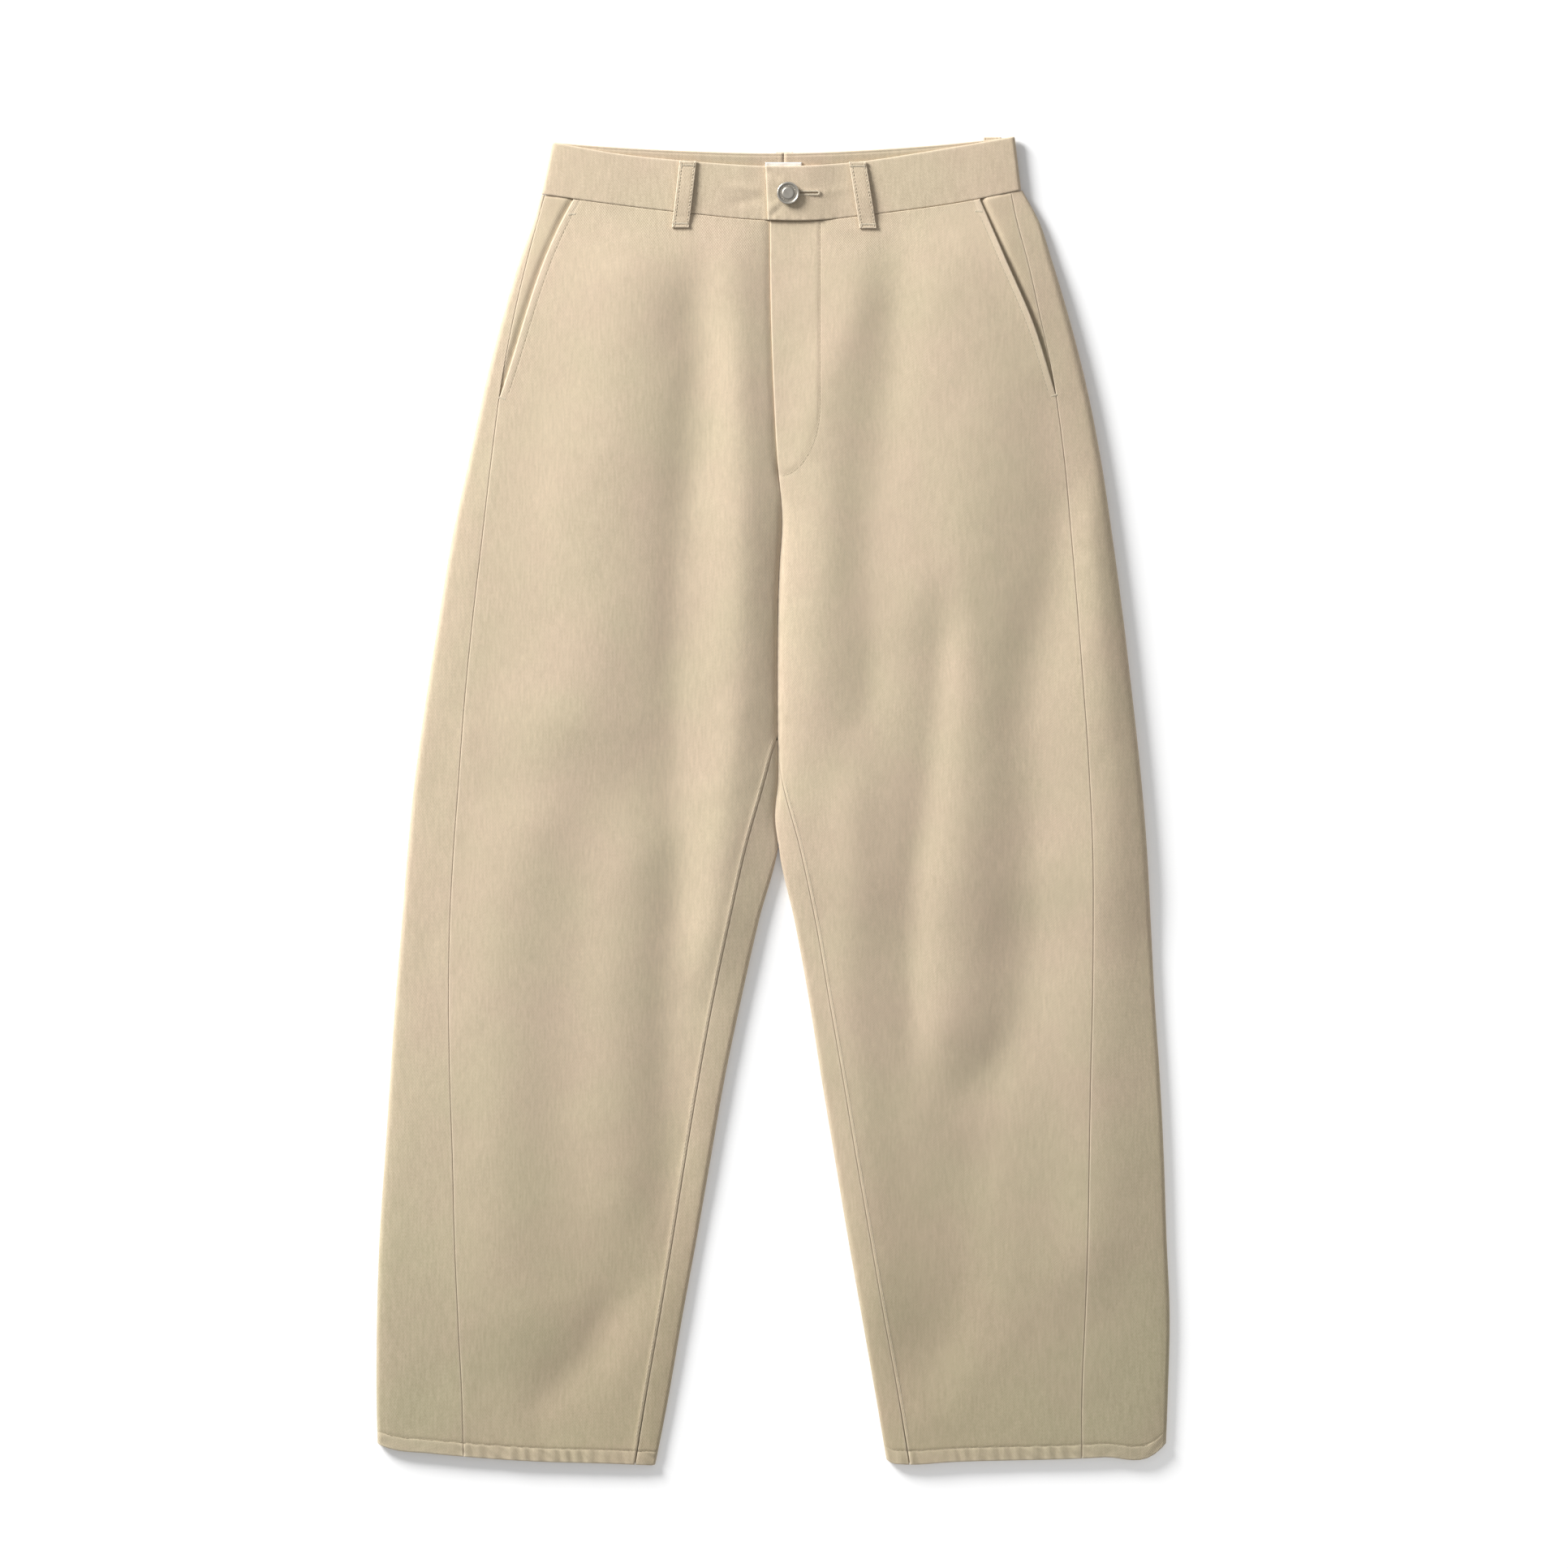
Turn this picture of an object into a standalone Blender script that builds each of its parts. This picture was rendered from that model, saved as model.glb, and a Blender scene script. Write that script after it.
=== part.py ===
"""Barrel leg trousers of cotton twill, laid out flat on their back.

X runs across the garment, Y runs up to the waist and Z is up from the surface
it lies on. Sizes are in millimetres and turned into metres when a mesh is made.
The wearer's right leg lies at -X and the wearer's left leg at +X.
"""
import math

import bmesh
import bpy
import numpy as np

MM = 0.001

# Driving sizes of the cloth and the sewing
PANEL_WALL = 1.5
HEM_WALL = 2.5
HEM_DEPTH = 10.5
FACING_WALL = 1.2
BAND_WALL = 2.4
LOOP_WALL = 1.5
LABEL_WALL = 1.0
SEAM_GAP = 0.3
HALF_GAP = SEAM_GAP / 2
LEAST_STRIP = 0.5
LEAST_INSIDE_RADIUS = 0.5

# Heights of the top layer over the surface
BAND_TOP = 8.2
BAND_UNDERSIDE = 2.0
UNDERLAP_TOP = 8.5
OVERLAP_TOP = UNDERLAP_TOP + SEAM_GAP + BAND_WALL
BAND_EDGE_FALL = 0.8
BAND_EDGE_REACH = 10.0
BAND_FOLD_RADIUS = 2.7
LOFT = {"y": (462, 440, 415, 385, 300, 180, 60, -80, -260, -420, -504),
        "height": (7.6, 7.8, 8.2, 8.4, 8.6, 8.6, 8.6, 8.4, 8.3, 7.6, 6.3)}

# Places up the garment
SEAM_ROW = 450.0
HEM_ROW = -500.0
EDGE_BLEND = 80.0
CROTCH_ROW = -34.0
RISE_MEETS_INSEAM = {"right": 50.0, "left": 35.0}

# One row for each section: the two folded edges and the two seams of each leg
SECTION_COLUMNS = ("y", "fold_r", "side_r", "inseam_r", "inner_r",
                   "inner_l", "inseam_l", "side_l", "fold_l")
SECTION_ROWS = (
    (462, -175, -172.0, 0.0, 0.0, 0.0, 0.0, 180.0, 189),
    (440, -181, -178.0, 0.0, 0.0, 0.0, 0.0, 184.5, 201),
    (410, -192, -186.0, 0.0, 0.0, 0.0, 0.0, 192.5, 211),
    (370, -204, -195.5, 0.0, 0.0, 0.0, 0.0, 201.5, 223),
    (320, -217, -205.0, 0.0, 0.0, 0.0, 0.0, 212.0, 236),
    (260, -230, -213.0, 0.0, 0.0, 0.0, 0.0, 220.5, 248),
    (200, -243, -220.0, 0.0, 0.0, 0.0, 0.0, 226.0, 257),
    (140, -253, -227.0, 0.0, 0.0, 0.0, 0.0, 231.0, 265),
    (80, -262.5, -233.0, 4.0, 4.0, 4.0, 4.0, 235.5, 272),
    (50, -266.9, -235.4, 3.4, 4.0, 4.0, 4.0, 237.7, 275.4),
    (35, -269.0, -236.5, -1.2, 4.0, 4.0, 3.9, 238.7, 277.0),
    (20, -271, -237.5, -5.0, 4.0, 4.0, 6.0, 239.5, 278.5),
    (-34, -276.5, -241.5, -20.0, 4.0, 4.0, 20.0, 242.0, 283),
    (-90, -281, -244.5, -32.5, -10.5, 16.0, 32.0, 242.5, 286),
    (-150, -286, -245.5, -45.0, -24.0, 27.0, 42.5, 242.0, 289),
    (-210, -290, -244.5, -56.0, -36.5, 36.5, 53.0, 240.5, 293),
    (-270, -294, -242.5, -66.0, -47.0, 46.5, 63.0, 239.5, 296),
    (-330, -298, -241.0, -75.5, -57.5, 56.5, 73.5, 238.5, 298),
    (-390, -300, -238.5, -85.5, -68.5, 67.0, 84.0, 236.5, 300.4),
    (-450, -300.4, -235.5, -96.0, -79.0, 77.5, 95.0, 234.0, 299),
    (-504, -299, -234.0, -105.0, -90.0, 86.5, 104.0, 234.0, 297),
)
SECTION = {name: [row[i] for row in SECTION_ROWS]
           for i, name in enumerate(SECTION_COLUMNS)}

# The centre front seam, and the crotch line where the two legs touch
CENTRE = {"y": (470, 363, 313, 261, 213, 177, 50, 17, -14, -34),
          "x": (-2.5, -1.5, 0.3, 3.0, 6.8, 4.8, 3.5, 3.8, 1.5, 4.0)}

# The slanted pocket mouths, from the waist seam to the side seam
POCKET = {"right": {"y": (455, 446, 306), "x": (-151.5, -156.5, -207.0)},
          "left": {"y": (455, 414, 359, 308), "x": (157.0, 174.5, 198.0, 214.0)}}
POCKET_END = {"right": 306.0, "left": 308.0}
FACING_UNDER = 18.0
FACING_DROP = PANEL_WALL + 1.5 * SEAM_GAP
FACING_SLOPE = 6.0
FACING_ROWS = (SEAM_ROW, 441, 425, 400, 375, 345, 322)
FACING_TAIL = 8.0
FACING_SHARE = (0.0, 0.35, 0.7, 0.85, 1.0, 1.0, 1.0)
FACING_TUCK = (0.0, 0.0, 0.0, 0.0, 0.0, FACING_SLOPE, FACING_UNDER)
MOUTH_LIFT = {"right": 0.5, "left": 2.4}
MOUTH_REACH = 9.0

# The edges of the band and the hem, seen from above
WAIST_SEAM = {"x": (-175.6, -127.6, -72.3, -4.6, 35.4, 69.2, 152.2, 187.9),
              "y": (459.4, 452.6, 445.9, 439.7, 439.7, 443.4, 455.1, 462.5)}
BACK_SEAM = {"x": (-175.6, -143, -69.2, 4.6, 90.7, 167.6, 187.9),
             "y": (459.4, 457.0, 452.3, 450.5, 453.8, 460.6, 462.5)}
FRONT_EDGE = {"x": (-167, -118, -64, -5.8, 21.8, 64, 121.5, 183),
              "y": (498.8, 490.2, 484.6, 480.9, 480.9, 484.0, 492.6, 503.1)}
BACK_EDGE = {"x": (-167, -143, -69, 4.6, 90.7, 167.6, 183),
             "y": (498.8, 496.8, 492.5, 490.7, 494.2, 501.2, 503.1)}
BAND_END = {"right": {"lower": -175.6, "upper": -167.0},
            "left": {"lower": 187.9, "upper": 183.0}}
HEM = {"right": {"x": (-300, -289, -262, -181, -121, -91),
                 "y": (-487.0, -490.8, -493.8, -500.0, -501.8, -503.1)},
       "left": {"x": (86, 91, 99, 136, 250, 290, 297),
                "y": (-499.5, -501.6, -502.3, -500.5, -496.9, -493.8, -487.5)}}

# The large soft folds of the top layer: a roll is positive, a hollow negative
FOLDS = (
    {"name": "thigh_roll", "y": (423, 324, 226, 127, 29),
     "x": (-105, -113, -129, -136, -160), "half_width": 50, "height": 5.2},
    {"name": "calf_outer_roll", "y": (15, -69, -168, -266, -340, -414),
     "x": (-172, -196, -203, -206, -205, -192), "half_width": 40, "height": 4.2},
    {"name": "calf_inner_roll", "y": (-20, -69, -168, -266, -330),
     "x": (-112, -115, -118, -125, -122), "half_width": 30, "height": 3.0},
    {"name": "knee_hollow", "y": (423, 324, 226, 127, 29, -69, -168, -266, -330),
     "x": (-60, -58, -65, -71, -75, -73, -79, -77, -80), "half_width": 19, "height": -2.5},
    {"name": "rise_roll", "y": (423, 324, 226, 127, 29, -69, -130),
     "x": (-30, -25, -22, -25, -29, -40, -50), "half_width": 20, "height": 3.8},
    {"name": "hem_hollow", "y": (-365, -414, -463), "x": (-110, -140, -175),
     "half_width": 22, "height": -2.9},
    {"name": "hem_roll", "y": (-380, -414, -463), "x": (-92, -106, -123),
     "half_width": 24, "height": 2.3},
    {"name": "centre_roll", "y": (423, 373, 324, 226, 127, 60),
     "x": (57, 60, 45, 38, 34, 34), "half_width": 22, "height": 3.0},
    {"name": "front_hollow", "y": (423, 324, 226, 127, 60), "x": (94, 88, 76, 75, 72),
     "half_width": 18, "height": -2.3},
    {"name": "front_roll", "y": (440, 324, 226, 140), "x": (144, 155, 150, 142),
     "half_width": 48, "height": 4.4},
    {"name": "front_roll_low", "y": (140, 78, -20, -119, -190),
     "x": (153, 149, 146, 140, 137), "half_width": 28, "height": 3.2},
    {"name": "knee_groove", "y": (150, 78, 29, -69, -168, -210),
     "x": (128, 125, 120, 106, 105, 110), "half_width": 14, "height": -2.0},
    {"name": "side_hollow", "y": (240, 177, 78, -20, -119, -168, -217),
     "x": (225, 215, 196, 195, 192, 185, 165), "half_width": 24, "height": -2.8},
    {"name": "side_roll", "y": (240, 127, 29, -69, -168, -266, -365),
     "x": (248, 252, 250, 252, 245, 247, 239), "half_width": 30, "height": 3.5},
    {"name": "shin_hollow", "y": (-200, -266, -315, -365, -440),
     "x": (150, 152, 146, 143, 115), "half_width": 30, "height": -3.2},
    {"name": "inseam_roll", "y": (20, -69, -119, -217, -315, -400),
     "x": (62, 63, 58, 66, 74, 82), "half_width": 20, "height": 2.6},
)
FOLD_FADE = 70.0

# How far the top layer falls towards a folded edge and towards the centre seam
EDGE_FALL = 2.4
EDGE_REACH = 12.0
VALLEY = {"y": (470, 300, 250, 200, 60, -20, -60, -504),
          "depth": (0.2, 0.6, 2.0, 3.9, 4.1, 3.0, 2.4, 2.0)}
VALLEY_REACH = 9.0
PANEL_FOLD_RADIUS = 2.3

# The fly: the wearer's left front laps over an underlap on the right front
FLY_X = 35.4
FLY_CURVE_Y = 298.0
FLY_END_Y = 246.0
FLY_RAISE = 0.6
FLY_SLOPE = 4.0
UNDERLAP = 12.0
UNDERLAP_TAPER = {"from": 8.0, "over": 20.0}
UNDERLAP_DROP = PANEL_WALL + SEAM_GAP
UNDERLAP_SLOPE = {"from": 9.0, "over": 8.0}
UNDERLAP_RUN_OUT = {"from": 12.0, "over": 16.0}
BAND_UNDERLAP_X = 35.4
BAND_OVERLAP_X = {"lower": -4.0, "upper": -5.8}
BAND_LAP = {"right": -24.0, "left": 56.0}
BAND_LAP_SLOPE = {"right": 14.0, "left": 18.0}
BAND_COLUMNS = {"lap": 6, "front": 12, "fold": 4, "beneath": 9}
BAND_SHARES = (0.0, 0.33, 0.67, 1.0)

# The rows of a leg, from the waist seam to the hem
LEG_ROWS = (SEAM_ROW, 441, 425, 400, 375, 345, 315, 285, 255, 228, 200, 165, 130,
            95, 68, 50, 35, 20, -5, -22, CROTCH_ROW, -60, -95, -135, -175, -220,
            -265, -310, -355, -395, -430, -460, HEM_ROW + HEM_DEPTH + 1.5,
            HEM_ROW + HEM_DEPTH, HEM_ROW)
FRONT_COLUMNS = 20
BACK_COLUMNS = {"over": 3, "fold": 4, "under": 5, "inner_fold": 4, "return": 2}
BACK_LIFT_REACH = 45.0
SETTLE_STEPS = 4

LOOP_WIDTH = 13.0
LOOP_TAIL = 6.0
LOOP_STOPS = (20.0, 1.5, -0.6, -2.2, -4.0)
LOOP_STEP = {"from": 4.0, "over": 3.4}
FRONT_LOOPS = {"right": {"top": (-64.3, 484.4), "bottom": (-70.1, 434.0)},
               "left": {"top": (64.0, 483.8), "bottom": (72.0, 433.4)}}
BACK_LOOPS = {"centre_back": {"x": 8.3, "above": 1.0},
              "back_left": {"x": 166.0, "above": 2.0},
              "back_right": {"x": -150.0, "above": 0.0}}

BUTTON_AT = (11.4, 460.0)
BUTTON_PROFILE = ((3.2, 0.0), (3.2, 1.0), (7.6, 1.0), (8.5, 1.8), (8.5, 2.9),
                  (7.9, 3.6), (7.1, 3.6), (6.7, 3.1), (4.4, 3.1), (4.1, 3.5))
BUTTON_STEPS = 28

LABEL = {"x": (-5.8, 21.8), "y": (468.0, 483.6)}

TWILL_COLOUR = (0.53, 0.44, 0.31, 1.0)
FACING_COLOUR = (0.50, 0.41, 0.29, 1.0)
LABEL_COLOUR = (0.85, 0.84, 0.80, 1.0)
METAL_COLOUR = (0.42, 0.38, 0.32, 1.0)


def through(at, keys, values):
    """Read a smooth curve through a short table at the places in `at`."""
    keys = np.asarray(keys, float)
    values = np.asarray(values, float)
    order = np.argsort(keys)
    keys = keys[order]
    values = values[order]
    slope = np.gradient(values, keys)
    at = np.clip(at, keys[0], keys[-1])
    i = np.clip(np.searchsorted(keys, at) - 1, 0, len(keys) - 2)
    span = keys[i + 1] - keys[i]
    t = (at - keys[i]) / span
    rise = (3 - 2 * t) * t * t
    start_bend = t * (1 - t) ** 2 * span * slope[i]
    end_bend = t * t * (1 - t) * span * slope[i + 1]
    return values[i] * (1 - rise) + values[i + 1] * rise + start_bend - end_bend


def ease(value):
    """Go from 0 to 1 softly as value goes from 0 to 1."""
    t = np.clip(value, 0.0, 1.0)
    return t * t * (3 - 2 * t)


def section(y, name):
    return through(y, SECTION["y"], SECTION[name])


def centre_line(y):
    return through(y, CENTRE["y"], CENTRE["x"])


def side_sign(side):
    return -1.0 if side == "right" else 1.0


def fold_edge(y, side):
    return section(y, "fold_" + side[0])


def side_seam(y, side):
    return section(y, "side_" + side[0])


def inner_edge(y, side):
    """The centre line down to the crotch, then the inner fold of the leg."""
    below = section(y, "inner_" + side[0])
    return np.where(y >= CROTCH_ROW, centre_line(y), below)


def inseam(y, side):
    """The centre seam down to where the rise meets the inseam, then the inseam."""
    sign = side_sign(side)
    below = section(y, "inseam_" + side[0])
    centre = centre_line(y)
    outwards = np.maximum(sign * below, sign * centre) * sign
    return np.where(y >= RISE_MEETS_INSEAM[side], centre, outwards)


def fold_relief(x, y):
    """Add up the rolls and hollows of the top layer at x, y."""
    relief = np.zeros(np.broadcast(x, y).shape)
    for fold in FOLDS:
        top = fold["y"][0]
        bottom = fold["y"][-1]
        line = through(y, fold["y"], fold["x"])
        fade = ease((top + FOLD_FADE / 2 - y) / FOLD_FADE)
        fade = fade * ease((y - bottom + FOLD_FADE / 2) / FOLD_FADE)
        across = (x - line) / fold["half_width"]
        relief = relief + fold["height"] * fade * np.exp(-across * across)
    return relief


def top_height(x, y, side):
    """Height of the outside of the top layer of one leg."""
    x = np.asarray(x, float)
    y = np.asarray(y, float)
    sign = side_sign(side)
    from_fold = np.maximum(sign * (fold_edge(y, side) - x), 0.0)
    from_inner = np.maximum(sign * (x - inner_edge(y, side)), 0.0)
    height = through(y, LOFT["y"], LOFT["height"])
    height = height - EDGE_FALL * np.exp(-from_fold / EDGE_REACH)
    valley = through(y, VALLEY["y"], VALLEY["depth"])
    height = height - valley * np.exp(-from_inner / VALLEY_REACH)
    clear_of_fold = 1 - np.exp(-(from_fold / EDGE_REACH) ** 2)
    return height + fold_relief(x, y) * clear_of_fold


def back_lift(x, y):
    """The back rises off the surface near the waist, over the back loops."""
    seam = through(x, BACK_SEAM["x"], BACK_SEAM["y"])
    return BAND_UNDERSIDE * ease((y - seam + BACK_LIFT_REACH) / BACK_LIFT_REACH)


def follow_edges(x, row, side, layer):
    """Bend a level row to the waist seam near the top and to the hem below.

    Layer is 0 on the top layer and 1 on the layer beneath.
    """
    front = through(x, WAIST_SEAM["x"], WAIST_SEAM["y"])
    back = through(x, BACK_SEAM["x"], BACK_SEAM["y"])
    seam = front * (1 - layer) + back * layer - HALF_GAP
    hem = through(x, HEM[side]["x"], HEM[side]["y"]) + layer
    near_waist = ease((row - SEAM_ROW + EDGE_BLEND) / EDGE_BLEND)
    near_hem = ease((HEM_ROW + EDGE_BLEND - row) / EDGE_BLEND)
    return row + (seam - SEAM_ROW) * near_waist + (hem - HEM_ROW) * near_hem


def panel_wall(row):
    """Wall of a panel on one row: the hem is turned up inside."""
    return HEM_WALL if row <= HEM_ROW + HEM_DEPTH else PANEL_WALL


def inward(x, z, sign):
    """Unit directions into the wall along one section path."""
    run_x = np.gradient(x)
    run_z = np.gradient(z)
    length = np.hypot(run_x, run_z)
    length = np.where(length < 1e-9, 1.0, length)
    return sign * run_z / length, -sign * run_x / length


def material(name, colour, roughness, metallic=0.0):
    made = bpy.data.materials.new(name)
    made.use_nodes = True
    shader = made.node_tree.nodes["Principled BSDF"]
    shader.inputs["Base Color"].default_value = colour
    shader.inputs["Roughness"].default_value = roughness
    shader.inputs["Metallic"].default_value = metallic
    return made


def add_object(name, points, faces, colour, roughness=0.9, metallic=0.0):
    mesh = bpy.data.meshes.new(name)
    scaled = [tuple(c * MM for c in point) for point in points]
    mesh.from_pydata(scaled, [], faces)
    made = bmesh.new()
    made.from_mesh(mesh)
    bmesh.ops.recalc_face_normals(made, faces=made.faces)
    made.to_mesh(mesh)
    made.free()
    mesh.shade_smooth()
    mesh.set_sharp_from_angle(angle=math.radians(40))
    mesh.materials.append(material(name, colour, roughness, metallic))
    thing = bpy.data.objects.new(name, mesh)
    bpy.context.collection.objects.link(thing)
    return thing


def cloth_wall(name, outer, inner, live, colour):
    """Close a sheet of outer points over a sheet of inner points.

    Live says which of the sheet's quads are cloth; every edge of the cloth is
    closed by a narrow face between its two sides.
    """
    rows, columns = live.shape
    points = []
    index = {}

    def corner(layer, sheet, i, j):
        key = (layer, i, j)
        if key not in index:
            index[key] = len(points)
            points.append(tuple(sheet[i, j]))
        return index[key]

    faces = []
    for i in range(rows):
        for j in range(columns):
            if not live[i, j]:
                continue
            ring = ((i, j), (i, j + 1), (i + 1, j + 1), (i + 1, j))
            beside = ((i - 1, j), (i, j + 1), (i + 1, j), (i, j - 1))
            faces.append([corner(0, outer, *at) for at in ring])
            faces.append([corner(1, inner, *at) for at in reversed(ring)])
            for k, (row, column) in enumerate(beside):
                inside = 0 <= row < rows and 0 <= column < columns
                if inside and live[row, column]:
                    continue
                first = ring[k]
                second = ring[(k + 1) % 4]
                faces.append([corner(0, outer, *second), corner(0, outer, *first),
                              corner(1, inner, *first), corner(1, inner, *second)])
    return add_object(name, points, faces, colour)


def front_edges(y, side):
    """Outer and inner edge of a front panel, short of its seams."""
    sign = side_sign(side)
    mouth = through(y, POCKET[side]["y"], POCKET[side]["x"])
    seam = side_seam(y, side)
    outer = np.where(y > POCKET_END[side], mouth, seam) - sign * HALF_GAP
    inner = inseam(y, side) + sign * HALF_GAP
    if side == "right":
        reach = ease((y - FLY_END_Y - UNDERLAP_TAPER["from"]) / UNDERLAP_TAPER["over"])
        inner = inner + (UNDERLAP + HALF_GAP) * reach
    return outer, inner


def mouth_lift(x, y, side):
    """The pocket mouth gapes a little, so the front lifts along it."""
    sign = side_sign(side)
    mouth = through(y, POCKET[side]["y"], POCKET[side]["x"])
    run = POCKET["left"]["y"][0] - POCKET_END[side]
    along = (y - POCKET_END[side]) / run
    bow = np.where((along > 0) & (along < 1), np.sin(np.pi * np.clip(along, 0, 1)), 0)
    inside = np.maximum(sign * (mouth - x), 0.0)
    return MOUTH_LIFT[side] * bow * np.exp(-inside / MOUTH_REACH)


def fly_raise(x, y):
    """The doubled cloth of the fly, out to its curved stitch line."""
    down = np.clip((FLY_CURVE_Y - y) / (FLY_CURVE_Y - FLY_END_Y), 0.0, 1.0)
    start = centre_line(y)
    edge = start + (FLY_X - start) * np.sqrt(1 - down * down)
    return FLY_RAISE * ease((edge - x) / FLY_SLOPE) * (y > FLY_END_Y)


def front_height(x, y, side):
    """Height of a front panel, with its pocket mouth and its fly."""
    height = top_height(x, y, side) + mouth_lift(x, y, side)
    if side == "left":
        return height + fly_raise(x, y)
    across = x - centre_line(y) + UNDERLAP_SLOPE["from"]
    above = y - FLY_END_Y + UNDERLAP_RUN_OUT["from"]
    under = ease(across / UNDERLAP_SLOPE["over"]) * ease(above / UNDERLAP_RUN_OUT["over"])
    return height - UNDERLAP_DROP * under


def front_panel(side):
    outer = []
    inner = []
    for row in LEG_ROWS:
        step = np.linspace(0.0, 1.0, FRONT_COLUMNS + 1)
        y = np.full_like(step, float(row))
        for _ in range(SETTLE_STEPS):
            first, last = front_edges(y, side)
            x = first + (last - first) * step
            y = follow_edges(x, row, side, 0.0)
        z = front_height(x, y, side)
        wall = panel_wall(row)
        outer.append(np.stack((x, y, z), axis=1))
        inner.append(np.stack((x, y, z - wall), axis=1))
    live = np.ones((len(LEG_ROWS) - 1, FRONT_COLUMNS), bool)
    return cloth_wall("front_" + side, np.array(outer), np.array(inner), live, TWILL_COLOUR)


def back_path(row, side):
    """One section of a back panel: over the side, beneath, and up to the inseam."""
    sign = side_sign(side)
    count = BACK_COLUMNS
    y_top = row
    for _ in range(SETTLE_STEPS):
        edge = fold_edge(y_top, side)
        y_top = follow_edges(edge, row, side, 0.0)
    height = top_height(edge - sign * PANEL_FOLD_RADIUS, y_top, side)
    lift = back_lift(edge, y_top)
    radius = (height - lift) / 2
    start = edge - sign * radius
    seam = side_seam(y_top, side) + sign * HALF_GAP
    seam = sign * np.minimum(sign * seam, sign * start - LEAST_STRIP)
    x = list(np.linspace(seam, start, count["over"] + 1))
    layer = [0.0] * len(x)
    turn = np.linspace(0.0, math.pi, count["fold"] + 1)[1:]
    x += [start + sign * radius * math.sin(a) for a in turn]
    layer += [float(a / math.pi) for a in turn]
    arc_height = [lift + radius * (1 + math.cos(a)) for a in turn]

    centre = centre_line(row) + sign * HALF_GAP
    inner = inner_edge(row, side) + sign * HALF_GAP
    closed = row <= CROTCH_ROW
    inner_height = top_height(inner + sign * PANEL_FOLD_RADIUS, row, side)
    inner_radius = inner_height / 2
    inner_start = inner + sign * inner_radius if closed else centre
    x += list(np.linspace(start, inner_start, count["under"] + 1)[1:])
    layer += [1.0] * count["under"]
    x += [inner_start - sign * inner_radius * math.sin(a)
          for a in np.linspace(0.0, math.pi, count["inner_fold"] + 1)[1:]]
    layer += [float(1 - a) for a in np.linspace(0, 1, count["inner_fold"] + 1)[1:]]
    end = inseam(row, side) - sign * HALF_GAP
    end = sign * np.maximum(sign * end, sign * inner_start + LEAST_STRIP)
    x += list(np.linspace(inner_start, end, count["return"] + 1)[1:])
    layer += [0.0] * count["return"]

    x = np.array(x, float)
    layer = np.array(layer, float)
    y = follow_edges(x, row, side, layer)
    z = top_height(x, y, side)
    z[layer == 1.0] = back_lift(x, y)[layer == 1.0]
    first_arc = count["over"] + 1
    z[first_arc:first_arc + count["fold"]] = arc_height
    last_arc = first_arc + count["fold"] + count["under"]
    level = z[last_arc + count["inner_fold"] - 1]
    for k in range(count["inner_fold"]):
        a = math.pi * (k + 1) / count["inner_fold"]
        z[last_arc + k] = level * (1 - math.cos(a)) / 2
    return x, y, z, radius, inner_radius, last_arc


def back_panel(side):
    sign = side_sign(side)
    count = BACK_COLUMNS
    columns = sum(count.values())
    first_return = columns - count["return"]
    outer = []
    inner = []
    for row in LEG_ROWS:
        x, y, z, radius, inner_radius, last_arc = back_path(row, side)
        into_x, into_z = inward(x, z, sign)
        closed = row <= CROTCH_ROW
        for end in (0, len(x) - 1):
            into_x[end] = 0.0
            into_z[end] = -1.0
        if not closed:
            into_x[last_arc - 1] = 0.0
            into_z[last_arc - 1] = 1.0
            into_x[first_return] = 0.0
            into_z[first_return] = -1.0
        wall = np.full(len(x), panel_wall(row))
        arc_end = count["over"] + count["fold"] + 1
        wall[:arc_end + 1] = np.minimum(wall[:arc_end + 1], radius - LEAST_INSIDE_RADIUS)
        if closed:
            near = slice(last_arc - 1, None)
            wall[near] = np.minimum(wall[near], inner_radius - LEAST_INSIDE_RADIUS)
        outer.append(np.stack((x, y, z), axis=1))
        inner.append(np.stack((x + into_x * wall, y, z + into_z * wall), axis=1))
    live = np.ones((len(LEG_ROWS) - 1, columns), bool)
    for i, row in enumerate(LEG_ROWS[:-1]):
        if row > CROTCH_ROW:
            live[i, last_arc - 1:first_return] = False
        if row >= RISE_MEETS_INSEAM[side]:
            live[i, first_return:] = False
    return cloth_wall("back_" + side, np.array(outer), np.array(inner), live, TWILL_COLOUR)


def pocket_facing(side):
    """The cloth seen in the pocket mouth, tucked under the front."""
    sign = side_sign(side)
    rows = FACING_ROWS + (POCKET_END[side], POCKET_END[side] - FACING_TAIL)
    share = np.array(FACING_SHARE)
    under = np.array(FACING_TUCK)
    outer = []
    inner = []
    for row in rows:
        y = np.full_like(share, float(row))
        for _ in range(SETTLE_STEPS):
            seam = side_seam(y, side) - sign * HALF_GAP
            mouth = through(y, POCKET[side]["y"], POCKET[side]["x"])
            mouth = sign * np.minimum(sign * mouth, sign * seam)
            x = seam + (mouth - seam) * share - sign * under
            y = follow_edges(x, row, side, 0.0)
        from_mouth = sign * (mouth - x)
        drop = FACING_DROP * ease((from_mouth + FACING_SLOPE) / FACING_SLOPE)
        z = top_height(x, y, side) - drop
        outer.append(np.stack((x, y, z), axis=1))
        inner.append(np.stack((x, y, z - FACING_WALL), axis=1))
    live = np.ones((len(rows) - 1, len(share) - 1), bool)
    return cloth_wall("pocket_facing_" + side, np.array(outer), np.array(inner), live,
                      FACING_COLOUR)


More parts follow.
